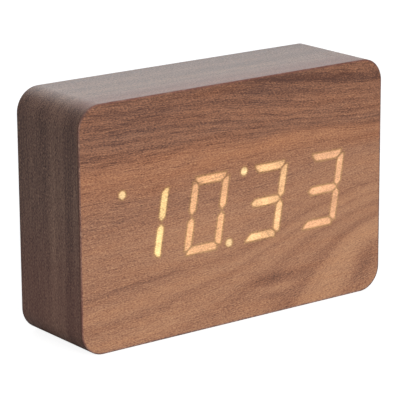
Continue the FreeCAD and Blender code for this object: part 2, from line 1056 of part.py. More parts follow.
def cradles():
    """Scalloped ribs across the bay's floor, in which the cells lie."""
    parts = []
    for side in (-1, 1):
        x = bay_mid_x + side * cradle_out
        rib = box(
            x - cradle_width / 2,
            x + cradle_width / 2,
            bay_floor,
            bay_floor + cradle_height,
            bay_bottom,
            bay_top,
        )
        hollows = [
            Part.makeCylinder(
                cell_radius + cradle_ease,
                cradle_width + 2 * overrun,
                vec(x - cradle_width / 2 - overrun, cell_y, row),
                vec(1, 0, 0),
            )
            for row in cell_rows
        ]
        parts.append(rib.cut(hollows))
    return parts


def hook_windows():
    """Room for the door's hooks to lie behind the panel and to swing out."""
    low = panel_inner - hook_gap - hook_thickness - hook_swing_room
    bottom = door_bottom - hook_reach - hook_gap
    windows = []
    for side in (-1, 1):
        x = bay_mid_x + side * hook_out
        half = hook_width / 2 + hook_gap
        windows.append(box(x - half, x + half, low, panel_inner, bottom, bay_bottom + hook_gap))
    return windows


def latch_window():
    """Room for the latch's leg above the bay."""
    low = door_inner - latch_leg_depth - latch_gap
    half = latch_width / 2 + latch_gap
    top = door_top + door_gap
    return box(bay_mid_x - half, bay_mid_x + half, low, panel_inner, bay_top - latch_gap, top)


def contact_places():
    """Each contact plate: its side, the rows it spans, and what it bears on each row."""
    return [
        (-1, [(0, "leaf")]),
        (1, [(0, "dimple"), (1, "leaf")]),
        (-1, [(1, "dimple"), (2, "leaf")]),
        (1, [(2, "dimple")]),
    ]


def tab_box(side, row, ease):
    """The solder tab that passes through the bay's end wall, with room round it."""
    wall_x = bay_left if side < 0 else bay_right
    far = wall_x + side * (bay_wall + tab_reach + ease)
    near = wall_x - side * plate
    half = tab_width / 2 + ease
    z = cell_rows[row]
    return box(
        min(near, far),
        max(near, far),
        cell_y - plate / 2 - ease,
        cell_y + plate / 2 + ease,
        z - half,
        z + half,
    )


def rear_panel():
    """The moulded panel, with its skirt, bosses and ribs and the battery bay."""
    panel_width = rebate_width - 2 * panel_gap
    panel_height = rebate_height - 2 * panel_gap
    panel_radius = rebate_radius - panel_gap
    sheet = block(panel_width, panel_height, panel_radius, panel_inner, panel_outer, case_mid)
    skirt = rounded_frame(
        pocket_width - 2 * panel_gap,
        pocket_height - 2 * panel_gap,
        pocket_radius - panel_gap,
        skirt_wall,
        panel_inner - skirt_depth,
        panel_inner,
        case_mid,
    )
    bosses = [disc(p, boss_radius, controls_face, panel_inner) for p in controls_screw_places()]
    panel = joined([sheet, skirt] + bosses + tub_solid() + stiffening_ribs())
    beyond = panel_outer + overrun
    doorway = block(
        door_width + 2 * door_gap,
        door_height + 2 * door_gap,
        door_corner + door_gap,
        panel_inner,
        beyond,
        bay_mid,
    )
    hollow = block(bay_length, bay_height, 0, bay_floor, beyond, bay_mid)
    cuts = [doorway, hollow, latch_window()] + hook_windows()
    cuts += [tab_box(-1, 0, slit_ease), tab_box(1, cell_count - 1, slit_ease)]
    through = panel_inner - overrun
    cuts += [disc(p, button_radius + button_gap, through, beyond) for p in button_places.values()]
    slot_half = (knob_length + knob_travel) / 2 + knob_gap
    slot_way = knob_width / 2 + knob_gap
    slide_x, slide_z = slide_place
    cuts.append(
        box(
            slide_x - slot_half,
            slide_x + slot_half,
            through,
            beyond,
            slide_z - slot_way,
            slide_z + slot_way,
        )
    )
    cuts.append(disc(socket_place, socket_collar_radius + socket_gap, through, beyond))
    cuts.append(disc(microphone_place, microphone_hole_radius, through, beyond))
    cuts.append(disc(sounder_place, grille_hole_radius, through, beyond))
    for index in range(grille_ring_count):
        turn = 2 * math.pi * index / grille_ring_count
        x = sounder_place[0] + grille_ring_radius * math.cos(turn)
        z = sounder_place[1] + grille_ring_radius * math.sin(turn)
        cuts.append(disc((x, z), grille_hole_radius, through, beyond))
    for index in range(vent_count):
        z = sensor_place[1] + (index - (vent_count - 1) / 2) * vent_pitch
        vent = block(vent_length, vent_width, vent_width / 2, through, beyond, (sensor_place[0], z))
        cuts.append(vent)
    for place in panel_screw_places():
        cuts.append(disc(place, panel_screw_radius + hole_ease, through, beyond))
        seat = vec(place[0], panel_outer - panel_screw_head_height, place[1])
        narrow = panel_screw_radius + screw_ease
        wide = panel_screw_head + screw_ease
        cuts.append(Part.makeCone(narrow, wide, panel_screw_head_height, seat, vec(0, 1, 0)))
    boss_depth = controls_screw_length - board_thickness + screw_ease
    for place in controls_screw_places():
        bore = board_screw_radius + screw_ease
        cuts.append(disc(place, bore, controls_face - overrun, controls_face + boss_depth))
    scoop = (bay_mid_x, door_top + scoop_rise)
    cuts.append(disc(scoop, scoop_radius, panel_outer - scoop_depth, beyond))
    return joined([panel.cut(cuts)] + cradles())


def battery_door():
    """The door: a plate with two hooks below and a sprung latch with grips above."""
    body = block(door_width, door_height, door_corner, door_inner, panel_outer, bay_mid)
    hook_top = panel_inner - hook_gap
    hook_low = hook_top - hook_thickness
    profile = [
        (door_inner, door_bottom + hook_neck),
        (hook_low, door_bottom + hook_neck),
        (hook_low, door_bottom - hook_reach),
        (hook_top, door_bottom - hook_reach),
        (hook_top, door_bottom),
        (door_inner, door_bottom),
    ]
    parts = [body]
    for side in (-1, 1):
        x = bay_mid_x + side * hook_out
        parts.append(side_prism(profile, x - hook_width / 2, x + hook_width / 2))
    half = latch_width / 2
    leg_top = door_top - latch_leg_inset
    leg_low = door_inner - latch_leg_depth
    left, right = bay_mid_x - half, bay_mid_x + half
    parts.append(box(left, right, leg_low, door_inner, leg_top - latch_leg, leg_top))
    grip_half = half - grip_width
    for index in range(grip_count):
        z = door_top - (index + 1) * grip_pitch
        parts.append(
            box(
                bay_mid_x - grip_half,
                bay_mid_x + grip_half,
                panel_outer,
                panel_outer + grip_height,
                z - grip_width / 2,
                z + grip_width / 2,
            )
        )
    door = joined(parts)
    slits = []
    for side in (-1, 1):
        near = bay_mid_x + side * half
        far = near + side * latch_slit
        slits.append(
            box(
                min(near, far),
                max(near, far),
                door_inner - overrun,
                panel_outer + overrun,
                door_top - latch_slit_length,
                door_top + overrun,
            )
        )
    return door.cut(slits)


def battery_cell(row):
    """One cell with its nub towards its dimple contact; the middle cell lies the other way."""
    to_left = row % 2 == 1
    nub_end = (bay_left if to_left else bay_right) + (1 if to_left else -1) * (
        plate + dimple + cell_touch
    )
    body = cell_length - cell_nub
    wide = cell_radius - cell_round
    edges = straight_edges(
        [
            (cell_nub_radius, 0),
            (cell_nub_radius, cell_nub),
            (wide, cell_nub),
            (cell_radius, cell_nub + cell_round),
            (cell_radius, cell_nub + body - cell_round),
            (wide, cell_nub + body),
            (0, cell_nub + body),
            (0, 0),
            (cell_nub_radius, 0),
        ]
    )
    cell = turned(edges, (0, 0))
    cell.rotate(vec(0, 0, 0), vec(0, 0, 1), -90 if to_left else 90)
    cell.translate(vec(nub_end, cell_y, cell_rows[row]))
    return cell


def battery_cells():
    return group(battery_cell(row) for row in range(cell_count))


def leaf_spring(side, row):
    """A bowed strip that presses on a cell's flat end."""
    wall_x = (bay_left if side < 0 else bay_right) - side * plate
    low_y, high_y = cell_y - leaf_length / 2, cell_y + leaf_length / 2
    z = cell_rows[row] - leaf_width / 2
    crest = wall_x - side * leaf_rise
    outer = Part.Arc(vec(wall_x, low_y, z), vec(crest, cell_y, z), vec(wall_x, high_y, z))
    inner_crest = crest + side * plate
    inner = Part.Arc(
        vec(wall_x, high_y - plate, z), vec(inner_crest, cell_y, z), vec(wall_x, low_y + plate, z)
    )
    ends = [
        Part.LineSegment(vec(wall_x, high_y, z), vec(wall_x, high_y - plate, z)).toShape(),
        Part.LineSegment(vec(wall_x, low_y + plate, z), vec(wall_x, low_y, z)).toShape(),
    ]
    edges = [outer.toShape(), ends[0], inner.toShape(), ends[1]]
    return Part.Face(Part.Wire(Part.__sortEdges__(edges))).extrude(vec(0, 0, leaf_width))


def contact(side, bearings):
    """A contact plate on an end wall, with a leaf or a dimple for each cell that it meets."""
    wall_x = bay_left if side < 0 else bay_right
    rows = [row for row, _ in bearings]
    low = cell_rows[min(rows)] - plate_side / 2
    high = cell_rows[max(rows)] + plate_side / 2
    inner_x = wall_x - side * plate
    half = plate_side / 2
    parts = [
        box(min(wall_x, inner_x), max(wall_x, inner_x), cell_y - half, cell_y + half, low, high)
    ]
    for row, kind in bearings:
        if kind == "leaf":
            parts.append(leaf_spring(side, row))
        else:
            start = vec(inner_x, cell_y, cell_rows[row])
            along = vec(-side, 0, 0)
            parts.append(Part.makeCone(dimple_radius, dimple_top_radius, dimple, start, along))
    if len(rows) == 1:
        parts.append(tab_box(side, rows[0], 0))
    return joined(parts)


def battery_contacts():
    return group(contact(side, bearings) for side, bearings in contact_places())


def lead_tube(points):
    """A wire along straight runs joined by round bends as large as the runs allow."""
    runs = [b - a for a, b in zip(points, points[1:])]
    edges = []
    here = points[0]
    for index in range(1, len(points) - 1):
        into, out = runs[index - 1], runs[index]
        turn = into.getAngle(out)
        reach = bend_limit_share * min(into.Length, out.Length)
        start = points[index] - into * (reach / into.Length)
        finish = points[index] + out * (reach / out.Length)
        radius = reach / math.tan(turn / 2)
        inward = (finish - points[index]) + (start - points[index])
        inward.normalize()
        bow = points[index] + inward * (radius / math.cos(turn / 2) - radius)
        edges.append(Part.LineSegment(here, start).toShape())
        edges.append(Part.Arc(start, bow, finish).toShape())
        here = finish
    edges.append(Part.LineSegment(here, points[-1]).toShape())
    path = Part.Wire(edges)
    section = Part.Wire([Part.makeCircle(lead_radius, points[0], runs[0])])
    return path.makePipeShell([section], True, False)


lead_x = controls_mid_x + controls_width / 2 - lead_inset
lead_y = bay_back - lead_radius - lead_clear


def positive_lead():
    """From the far tab, across behind the bay, to the control board."""
    z = cell_rows[cell_count - 1]
    tab_x = bay_right + bay_wall + tab_reach / 2
    start_y = cell_y - plate / 2
    return lead_tube(
        [
            vec(tab_x, start_y, z),
            vec(tab_x, lead_y, z),
            vec(bay_mid_x, lead_y, z + lead_swing),
            vec(lead_x, lead_y, z),
            vec(lead_x, controls_back, z),
        ]
    )


def negative_lead():
    """From the near tab to the control board."""
    z = cell_rows[0]
    tab_x = bay_left - bay_wall - tab_reach / 2
    start_y = cell_y - plate / 2
    return lead_tube(
        [
            vec(tab_x, start_y, z),
            vec(tab_x, lead_y, z),
            vec(lead_x, lead_y, z),
            vec(lead_x, controls_back, z),
        ]
    )


pieces = {
    "case_body": case_body(),
    "front_veneer": front_veneer(),
    "wrap_veneer": wrap_veneer(),
    "base_veneer": base_veneer(),
    "back_veneer": back_veneer(),
    "lit_colon": lit_dots(colon_dots),
    "lit_indicator": lit_dots([indicator_dot]),
    "diffuser_film": diffuser_film(),
    "display_reflector": display_reflector(),
    "display_leds": display_leds(),
    "display_board": display_board(),
    "display_screws": display_screws(),
    "display_driver": display_driver(),
    "ribbon_connectors": ribbon_connectors(),
    "ribbon_cable": ribbon_cable(),
    "control_board": control_board(),
    "control_board_screws": controls_screws(),
    "controller_chip": controller_chip(),
    "clock_crystal": clock_crystal(),
    "tact_switches": tact_switches(),
    "slide_switch": slide_switch(),
    "slide_knob": slide_knob(),
    "supply_socket": supply_socket(),
    "socket_pin": socket_pin(),
    "sounder": sounder(),
    "microphone": microphone(),
    "temperature_sensor": temperature_sensor(),
    "rear_panel": rear_panel(),
    "panel_screws": panel_screws(),
    "battery_door": battery_door(),
    "battery_cells": battery_cells(),
    "battery_contacts": battery_contacts(),
    "positive_lead": positive_lead(),
    "negative_lead": negative_lead(),
}
for figure_name in figure_names:
    pieces["lit_" + figure_name] = lit_figure(figure_name)
for button_name, button_place in button_places.items():
    pieces[button_name + "_button"] = push_button(button_place)
    pieces[button_name + "_plunger"] = switch_plunger(button_place)

os.makedirs("parts", exist_ok=True)
for piece_name, shape in pieces.items():
    shape.exportStep("parts/" + piece_name + ".step")
    print(piece_name, len(shape.Solids), "solids,", round(shape.Volume), "mm3,", shape.isValid())
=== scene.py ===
import math

import bmesh
import bpy
from mathutils import Matrix, Vector


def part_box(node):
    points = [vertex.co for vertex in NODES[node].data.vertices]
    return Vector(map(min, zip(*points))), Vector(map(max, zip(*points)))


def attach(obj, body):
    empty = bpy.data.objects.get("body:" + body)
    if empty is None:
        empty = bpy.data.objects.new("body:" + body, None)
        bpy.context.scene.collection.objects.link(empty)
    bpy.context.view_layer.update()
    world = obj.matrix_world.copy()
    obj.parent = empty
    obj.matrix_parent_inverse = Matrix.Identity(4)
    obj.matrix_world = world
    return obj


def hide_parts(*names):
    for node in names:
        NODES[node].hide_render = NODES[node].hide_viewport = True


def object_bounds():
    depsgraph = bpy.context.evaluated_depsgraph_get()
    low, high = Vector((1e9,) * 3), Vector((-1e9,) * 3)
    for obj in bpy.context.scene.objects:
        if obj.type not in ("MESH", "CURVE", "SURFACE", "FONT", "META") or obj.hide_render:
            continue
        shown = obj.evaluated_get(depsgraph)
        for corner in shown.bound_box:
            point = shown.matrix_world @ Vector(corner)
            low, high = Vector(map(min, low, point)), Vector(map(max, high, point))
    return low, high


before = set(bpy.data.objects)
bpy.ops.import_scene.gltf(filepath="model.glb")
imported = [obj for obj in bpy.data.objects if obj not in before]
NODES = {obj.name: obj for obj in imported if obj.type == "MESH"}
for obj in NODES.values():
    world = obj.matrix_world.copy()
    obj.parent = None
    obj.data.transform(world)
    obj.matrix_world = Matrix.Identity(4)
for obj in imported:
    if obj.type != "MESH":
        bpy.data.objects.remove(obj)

bl_info = {
    "name": "Walnut desk clock",
    "version": (1, 0, 0),
    "blender": (4, 5, 0),
    "location": "View3D > Sidebar > Desk clock",
    "description": "Veneers, lights and finishes a wooden desk clock whose figures shine through",
    "category": "Object",
}

MM = 0.001
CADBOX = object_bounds()

# The figures on the front, from the left, and the bars that each digit shows
FIGURES = ("lit_hour_tens", "lit_hour_units", "lit_minute_tens", "lit_minute_units")
SEGMENTS = {"0": "abcdef", "1": "bc", "3": "abcdg"}

# How round a bar's corners are, in mm, and how many cells lie one above the other
BAR_ROUNDING = 1.0
CELL_ROWS = 3

# The lights' places and sides, the floor and the camera, in metres unless a name says otherwise
KEY_PLACE, KEY_SIDE = (-0.25, -1.72, 0.50), 1.0
BACK_PLACE, BACK_SIDE = (0.66, 1.46, 0.75), 1.5
FLOOR_REACH = 6.0
FLOOR_DROP = 0.05 * MM
# The floor's grey and the white added to it for the camera, its grey as light on the clock,
# and the white behind
FLOOR_GREY, FLOOR_WHITE, FLOOR_DIM = 0.35, 0.9, 0.38
BACKDROP = 1.05
PHOTO_SIDE_PIXELS = 400
SENSOR_MM = 36.0
NEAREST_SEEN = 0.01


def srgb(red, green, blue):
    """A colour as it is read off a print, 0 to 255, in the scene's linear light."""
    def channel(value):
        share = value / 255
        return share / 12.92 if share <= 0.04045 else ((share + 0.055) / 1.055) ** 2.4
    return (channel(red), channel(green), channel(blue), 1.0)


def grey(level):
    """A grey in the scene's linear light."""
    return (level, level, level, 1.0)


class Field:
    """One number of a material's node tree, so that sums of them read as sums."""

    def __init__(self, recipe, socket):
        self.recipe = recipe
        self.socket = socket

    def __add__(self, other):
        return self.recipe.math("ADD", self, other)

    __radd__ = __add__

    def __sub__(self, other):
        return self.recipe.math("SUBTRACT", self, other)

    def __rsub__(self, other):
        return self.recipe.math("SUBTRACT", other, self)

    def __mul__(self, other):
        return self.recipe.math("MULTIPLY", self, other)

    __rmul__ = __mul__

    def __truediv__(self, other):
        return self.recipe.math("DIVIDE", self, other)

    def __neg__(self):
        return self.recipe.math("MULTIPLY", self, -1.0)

    def __abs__(self):
        return self.recipe.math("ABSOLUTE", self)

    def largest(self, *others):
        total = self
        for other in others:
            total = self.recipe.math("MAXIMUM", total, other)
        return total

    def smallest(self, *others):
        total = self
        for other in others:
            total = self.recipe.math("MINIMUM", total, other)
        return total

    def root(self):
        return self.recipe.math("SQRT", self)


class Recipe:
    """A procedural material that is written step by step, in millimetres of the clock."""

    def __init__(self, name):
        self.material = bpy.data.materials.new(name)
        self.material.use_nodes = True
        self.tree = self.material.node_tree
        self.tree.nodes.clear()
        place = self.add("ShaderNodeTexCoord").outputs["Object"]
        split = self.add("ShaderNodeSeparateXYZ")
        self.feed(split.inputs[0], place)
        self.x, self.y, self.z = (Field(self, socket) * (1 / MM) for socket in split.outputs)

    def add(self, kind, **settings):
        node = self.tree.nodes.new(kind)
        for name, value in settings.items():
            setattr(node, name, value)
        return node

    def feed(self, socket, value):
        if isinstance(value, Field):
            self.tree.links.new(value.socket, socket)
        elif isinstance(value, bpy.types.NodeSocket):
            self.tree.links.new(value, socket)
        elif hasattr(value, "__len__"):
            socket.default_value = list(value)[:len(socket.default_value)]
        else:
            socket.default_value = value

    def join(self, kind, *values, **settings):
        """Adds a node, feeds its first sockets in order and gives its first output."""
        node = self.add(kind, **settings)
        for socket, value in zip(node.inputs, values):
            self.feed(socket, value)
        return node.outputs[0]

    def math(self, operation, *values):
        return Field(self, self.join("ShaderNodeMath", *values, operation=operation))

    def noise(self, x, y, z, detail=3.0, roughness=0.5, twist=0.0):
        """Cloudy noise about 0.5, one swirl for each unit of x, y and z."""
        node = self.add("ShaderNodeTexNoise")
        self.feed(node.inputs["Vector"], self.join("ShaderNodeCombineXYZ", x, y, z))
        self.feed(node.inputs["Scale"], 1.0)
        self.feed(node.inputs["Detail"], detail)
        self.feed(node.inputs["Roughness"], roughness)
        self.feed(node.inputs["Distortion"], twist)
        return Field(self, node.outputs[0])

    def even(self, scale, detail=3.0, roughness=0.5, twist=0.0):
        """Cloudy noise with as many swirls to the millimetre every way."""
        return self.noise(self.x * scale, self.y * scale, self.z * scale, detail, roughness, twist)

    def cells(self, x, y, z):
        """Distance from the middles of scattered cells, one for each unit of x, y and z."""
        node = self.add("ShaderNodeTexVoronoi")
        self.feed(node.inputs["Vector"], self.join("ShaderNodeCombineXYZ", x, y, z))
        self.feed(node.inputs["Scale"], 1.0)
        return Field(self, node.outputs["Distance"])

    def rise(self, value, low, high):
        """0 below low and 1 above high, with a soft way between. Low may be the larger."""
        node = self.add("ShaderNodeMapRange", interpolation_type="SMOOTHSTEP", clamp=True)
        if low <= high:
            spans = (low, high, 0.0, 1.0)
        else:
            spans = (high, low, 1.0, 0.0)
        self.feed(node.inputs[0], value)
        for socket, number in zip(node.inputs[1:5], spans):
            self.feed(socket, number)
        return Field(self, node.outputs[0])

    def curve(self, share, points):
        """A number read off a given curve: points are (place, value), both 0 to 1."""
        node = self.add("ShaderNodeFloatCurve")
        line = node.mapping.curves[0]
        while len(line.points) < len(points):
            line.points.new(0.5, 0.5)
        for point, place in zip(line.points, points):
            point.location = place
        node.mapping.extend = "HORIZONTAL"
        node.mapping.update()
        self.feed(node.inputs["Value"], share)
        return Field(self, node.outputs[0])

    def blend(self, share, first, second, kind="MIX"):
        """A colour between two colours, which have sockets 6 and 7 of such a node."""
        node = self.add("ShaderNodeMix", data_type="RGBA", blend_type=kind, clamp_factor=True)
        self.feed(node.inputs[0], share)
        self.feed(node.inputs[6], first)
        self.feed(node.inputs[7], second)
        return node.outputs[2]

    def between(self, share, first, second):
        """A number between two numbers."""
        return first + (second - first) * share

    def ramp(self, share, stops):
        """A colour read off a strip of colours: stops are (place, colour)."""
        node = self.add("ShaderNodeValToRGB")
        strip = node.color_ramp.elements
        while len(strip) < len(stops):
            strip.new(0.5)
        for stop, (place, colour) in zip(strip, stops):
            stop.position = place
            stop.color = colour
        self.feed(node.inputs[0], share)
        return node.outputs[0]

    def shade(self, colour, share):
        """A colour made darker or brighter by a number about 1."""
        node = self.add("ShaderNodeVectorMath", operation="SCALE")
        self.feed(node.inputs[0], colour)
        self.feed(node.inputs["Scale"], share)
        return node.outputs[0]

    def sum_colours(self, first, second):
        return self.join("ShaderNodeVectorMath", first, second, operation="ADD")

    def finish(self, colour, roughness, height=None, depth=0.0, **sockets):
        """Ends the recipe in one surface. Height is 0 to 1 over a depth in millimetres."""
        surface = self.add("ShaderNodeBsdfPrincipled")
        self.feed(surface.inputs["Base Color"], colour)
        self.feed(surface.inputs["Roughness"], roughness)
        if height is not None:
            bump = self.add("ShaderNodeBump")
            self.feed(bump.inputs["Strength"], 1.0)
            self.feed(bump.inputs["Distance"], depth * MM)
            self.feed(bump.inputs["Height"], height)
            self.feed(surface.inputs["Normal"], bump.outputs[0])
        for name, value in sockets.items():
            self.feed(surface.inputs[name.replace("_", " ").title().replace("Ior", "IOR")], value)
        return self.end(surface.outputs[0])

    def end(self, surface):
        """Ends the recipe in any surface."""
        self.feed(self.add("ShaderNodeOutputMaterial").inputs[0], surface)
        return self.material


def dress(material, *names):
    """Gives whole nodes of the frame one material."""
    for name in names:
        mesh = NODES[name].data
        if len(mesh.materials) == 0:
            mesh.materials.append(material)
        for index in range(len(mesh.materials)):
            mesh.materials[index] = material


def length_setting(name, description, default):
    """A length that the panel shows."""
    return bpy.props.FloatProperty(
        name=name, description=description, default=default, unit="LENGTH",
    )


def plane_setting(name, description, default):
    """A place in a plane, as two lengths, that the panel shows."""
    return bpy.props.FloatVectorProperty(
        name=name, description=description, default=default, size=2, subtype="XYZ", unit="LENGTH",
    )


def angle_setting(name, description, degrees):
    """An angle that the panel shows."""
    return bpy.props.FloatProperty(
        name=name, description=description, default=math.radians(degrees), subtype="ANGLE",
        unit="ROTATION",
    )


def colour_setting(name, description, default):
    """A colour that the panel shows."""
    return bpy.props.FloatVectorProperty(
        name=name, description=description, default=default, size=4, subtype="COLOR",
        min=0.0, max=1.0,
    )


class ClockSizes(bpy.types.PropertyGroup):
    """Sizes that the figures and the grain on the front follow."""

    figure_pitch: length_setting(
        "Figure pitch", "From one figure's middle to the next", 29.9 * MM,
    )
    row_middle: plane_setting(
        "Row middle", "The middle of the row of figures, along and up", (-0.3 * MM, 48.3 * MM),
    )
    figure_reach: length_setting(
        "Figure reach", "From a figure's middle to its uprights' middles", 7.5 * MM,
    )
    figure_rise: length_setting(
        "Figure rise", "From a figure's middle to its top bar's middle", 14.0 * MM,
    )
    stroke: length_setting("Stroke", "Width of one segment", 3.0 * MM)
    figure_lean: angle_setting("Figure lean", "How far the figures lean to the right", 9.6)
    mitre_gap: length_setting(
        "Mitre gap", "Dark gap between two segments at a corner", 0.7 * MM,
    )
    tip_gap: length_setting(
        "Tip gap", "From a figure's level middle line to an upright's tip", 0.68 * MM,
    )
    bar_gap: length_setting(
        "Bar gap", "From the middle bar's tips to the uprights' middles", 0.2 * MM,
    )
    corner_blunt: length_setting(
        "Corner blunting", "How far the tips at a corner stay inside it", 0.35 * MM,
    )
    end_reach: length_setting(
        "End reach", "How far a level bar's left end runs past its corner", 0.35 * MM,
    )
    dot_radius: length_setting(
        "Dot radius", "Radius of the colon's dots and the small dot", 1.6 * MM,
    )


class ClockFinish(bpy.types.PropertyGroup):
    """Colours and strengths of the clock's finishes."""

    reading: bpy.props.StringProperty(
        name="Reading", description="The four figures that shine", default="1033",
    )
    walnut_dark: colour_setting(
        "Walnut, dark streaks", "The darkest grain lines", srgb(90, 62, 54),
    )
    walnut_middle: colour_setting(
        "Walnut, middle", "Most of the front's surface", srgb(163, 115, 89),
    )
    walnut_light: colour_setting("Walnut, light bands", "The golden bands", srgb(206, 157, 119))
    glow_strength: bpy.props.FloatProperty(
        name="Glow", description="How brightly the figures shine", default=1.0, min=0.0,
    )


class ClockWiring(bpy.types.PropertyGroup):
    """Sizes of the ribbon cable and of the solder round the battery leads."""

    ribbon_wires: bpy.props.IntProperty(
        name="Ribbon wires", description="How many wires lie side by side", default=10, min=1,
    )
    ribbon_thickness: length_setting("Ribbon thickness", "Over the ribs of the wires", 1.0 * MM)
    ribbon_web: bpy.props.FloatProperty(
        name="Ribbon web", description="Share of the thickness that is left between two wires",
        default=0.35, min=0.0, max=1.0,
    )
    ribbon_bend: length_setting(
        "Ribbon bend", "Radius of the middle of the ribbon at its bends", 3.0 * MM,
    )
    lead_radius: length_setting(
        "Lead radius", "Radius of a battery lead over its insulation", 0.6 * MM,
    )
    solder_reach: length_setting(
        "Solder reach", "Radius of the solder where it meets the metal", 1.15 * MM,
    )
    solder_height: length_setting(
        "Solder height", "How far the solder climbs up the lead", 0.95 * MM,
    )


class ClockStage(bpy.types.PropertyGroup):
    """Where the camera and the lights stand."""

    azimuth: angle_setting(
        "Azimuth", "The camera's place round the clock, 0 in front of it", -36.894,
    )
    elevation: angle_setting("Elevation", "The camera's height as an angle", 15.2695)
    roll: angle_setting("Roll", "The camera's small turn about its own view", -0.3453)
    distance: length_setting("Distance", "From the camera to the clock's middle", 934.357 * MM)
    aim: plane_setting(
        "Aim", "The camera's step to the right and up from the middle",
        (-2.002 * MM, -3.322 * MM),
    )
    focal_pixels: bpy.props.FloatProperty(
        name="Focal length", description="In pixels of a picture 400 pixels wide",
        default=2288.03,
    )
    key_power: bpy.props.FloatProperty(
        name="Key light", description="Power of the large light in front",
        default=28.0, unit="POWER",
    )
    back_power: bpy.props.FloatProperty(
        name="Back light", description="Power of the panel behind, seen in the top's sheen",
        default=12.5, unit="POWER",
    )
    room_light: bpy.props.FloatProperty(
        name="Room light", description="Even light from all round", default=0.24, min=0.0,
    )


def bar_distance(recipe, letter, along, up, sizes):
    """How far a point lies outside one segment of a figure, in mm, below 0 inside."""
    reach = sizes.figure_reach / MM
    rise = sizes.figure_rise / MM
    half = sizes.stroke / 2 / MM
    cut = sizes.mitre_gap / MM / math.sqrt(2)
    tip = sizes.tip_gap / MM
    slant = math.sqrt(0.5)
    if letter == "g":
        point = (abs(along) + abs(up) - (reach - sizes.bar_gap / MM)) * slant
        return rounded(recipe, abs(up) - half, point)
    if letter in "ad":
        out = (up if letter == "a" else -up) - rise
        mitre = (abs(along) - out - (reach - cut)) * slant
        right = along - reach + sizes.corner_blunt / MM
        left = -along - reach - sizes.end_reach / MM
        return rounded(recipe, abs(out) - half, mitre, right, left)
    side = along if letter in "bc" else -along
    level = up if letter in "bf" else -up
    out = side - reach
    top = (level - rise - out + cut) * slant
    foot = (abs(out) + tip - level) * slant
    return rounded(recipe, abs(out) - half, top, foot, level - rise + sizes.corner_blunt / MM)


def rounded(recipe, first, *others):
    """The largest of some distances, with its corners rounded."""
    total = first
    for other in others:
        total = recipe.math("SMOOTH_MAX", total, other, BAR_ROUNDING)
    return total


def figure_distances(recipe, sizes, reading):
    """How far a point of the front lies outside each lit figure, and outside the dots."""
    lean = math.tan(sizes.figure_lean)
    middle_x, middle_z = (value / MM for value in sizes.row_middle)
    up = recipe.z - middle_z
    distances = {}
    for place, (name, digit) in enumerate(zip(FIGURES, reading)):
        middle = middle_x + (place - (len(FIGURES) - 1) / 2) * sizes.figure_pitch / MM
        along = recipe.x - middle - up * lean
        bars = [bar_distance(recipe, letter, along, up, sizes) for letter in SEGMENTS[digit]]
        distances[name] = bars[0].smallest(*bars[1:])
    dots = []
    for name in ("lit_colon", "lit_indicator"):
        for x, z in dot_middles(name):
            across = recipe.x - x
            rise = recipe.z - z
            dots.append((across * across + rise * rise).root() - sizes.dot_radius / MM)
    distances["dots"] = dots[0].smallest(*dots[1:])
    return distances


def dot_middles(name):
    """The middles (x, z) of a node's round dots, in millimetres, from its box."""
    low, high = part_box(name)
    radius = bpy.context.scene.clock_sizes.dot_radius
    if high[0] - low[0] < 3 * radius:
        return [((low[0] + high[0]) / 2 / MM, (low[2] + high[2]) / 2 / MM)]
    ends = ((low, radius), (high, -radius))
    return [((corner[0] + step) / MM, (corner[2] + step) / MM) for corner, step in ends]


# Grain lines of the front, from the lowest: the level that each stands for, and its heights
# in mm at the stations along the front. The low ones sweep up to the right.
STATIONS = (-76, -60, -45, -33, -20, -8, 2, 12, 22, 30, 38, 45, 52, 60, 68, 76)
GRAIN_LINES = (
    (-46, (-88, -88, -88, -88, -88, -88, -88, -86, -80, -66, -46, -28, -13, 1, 14, 20)),
    (-36, (-70, -68, -66, -64, -61, -58, -54, -46, -34, -20, -5, 6, 14, 20.5, 24.5, 27)),
    (-22, (-36, -33, -30, -27, -23, -19, -15, -8, 1, 8, 15.3, 20.5, 25, 28.6, 31.8, 34)),
    (-4, (-6, -4, -2, 1, 4.4, 7.6, 12.4, 16, 20.6, 25, 29, 31, 33, 35.8, 37.6, 38.6)),
    (9.5, (9.4, 11.4, 13, 15.2, 17.6, 20, 23, 27, 30, 32.6, 34.6, 36.6, 38.6, 40.6, 42, 42.8)),
    (23, (22.9, 23.6, 25.1, 25.9, 27, 28, 29.8, 31.8, 34.6, 37.8, 40, 42.2, 44.2, 46, 46.9, 47.4)),
    (35, (35, 36, 37, 37.8, 38.6, 39.6, 40.8, 42, 43.8, 45.4, 47.2, 49, 50.6, 52.2, 53.4, 54.2)),
    (46, (46, 46.2, 46.6, 47.6, 48.6, 49.8, 50.8, 51.8, 52.9, 53.9,
      55, 56.3, 57.5, 58.4, 59, 59.5)),
    (67, (66.9, 67, 67.2, 67.6, 68.1, 68.5, 68.9, 69.3, 69.7, 70, 70, 69.8, 69.6, 69.4, 69, 68.7)),
    (74, (73.7, 73.9, 74, 74.1, 74.2, 74.3, 74.4, 74.4, 74.4, 74.3,
      73.9, 73.4, 73, 72.6, 72.2, 72)),
    (80, (80, 79.8, 79.5, 79.2, 78.9, 78.5, 78.1, 77.6, 77, 76.3,
      75.6, 75, 74.5, 74.1, 73.7, 73.4)),
    (88, (88, 87.6, 87.1, 86.5, 85.6, 84.7, 83.9, 82.8, 81.6, 80.6,
      79.7, 79, 78.4, 77.9, 77.5, 77.2)),
    (106, (108, 107, 106, 105, 103.5, 102, 101.2, 100, 98.4, 97.2,
      96.2, 95.2, 94.3, 93.4, 92.6, 91.9)),
)
# The heights in mm that the curves of those lines run between
LINE_LOW, LINE_HIGH = -90.0, 110.0


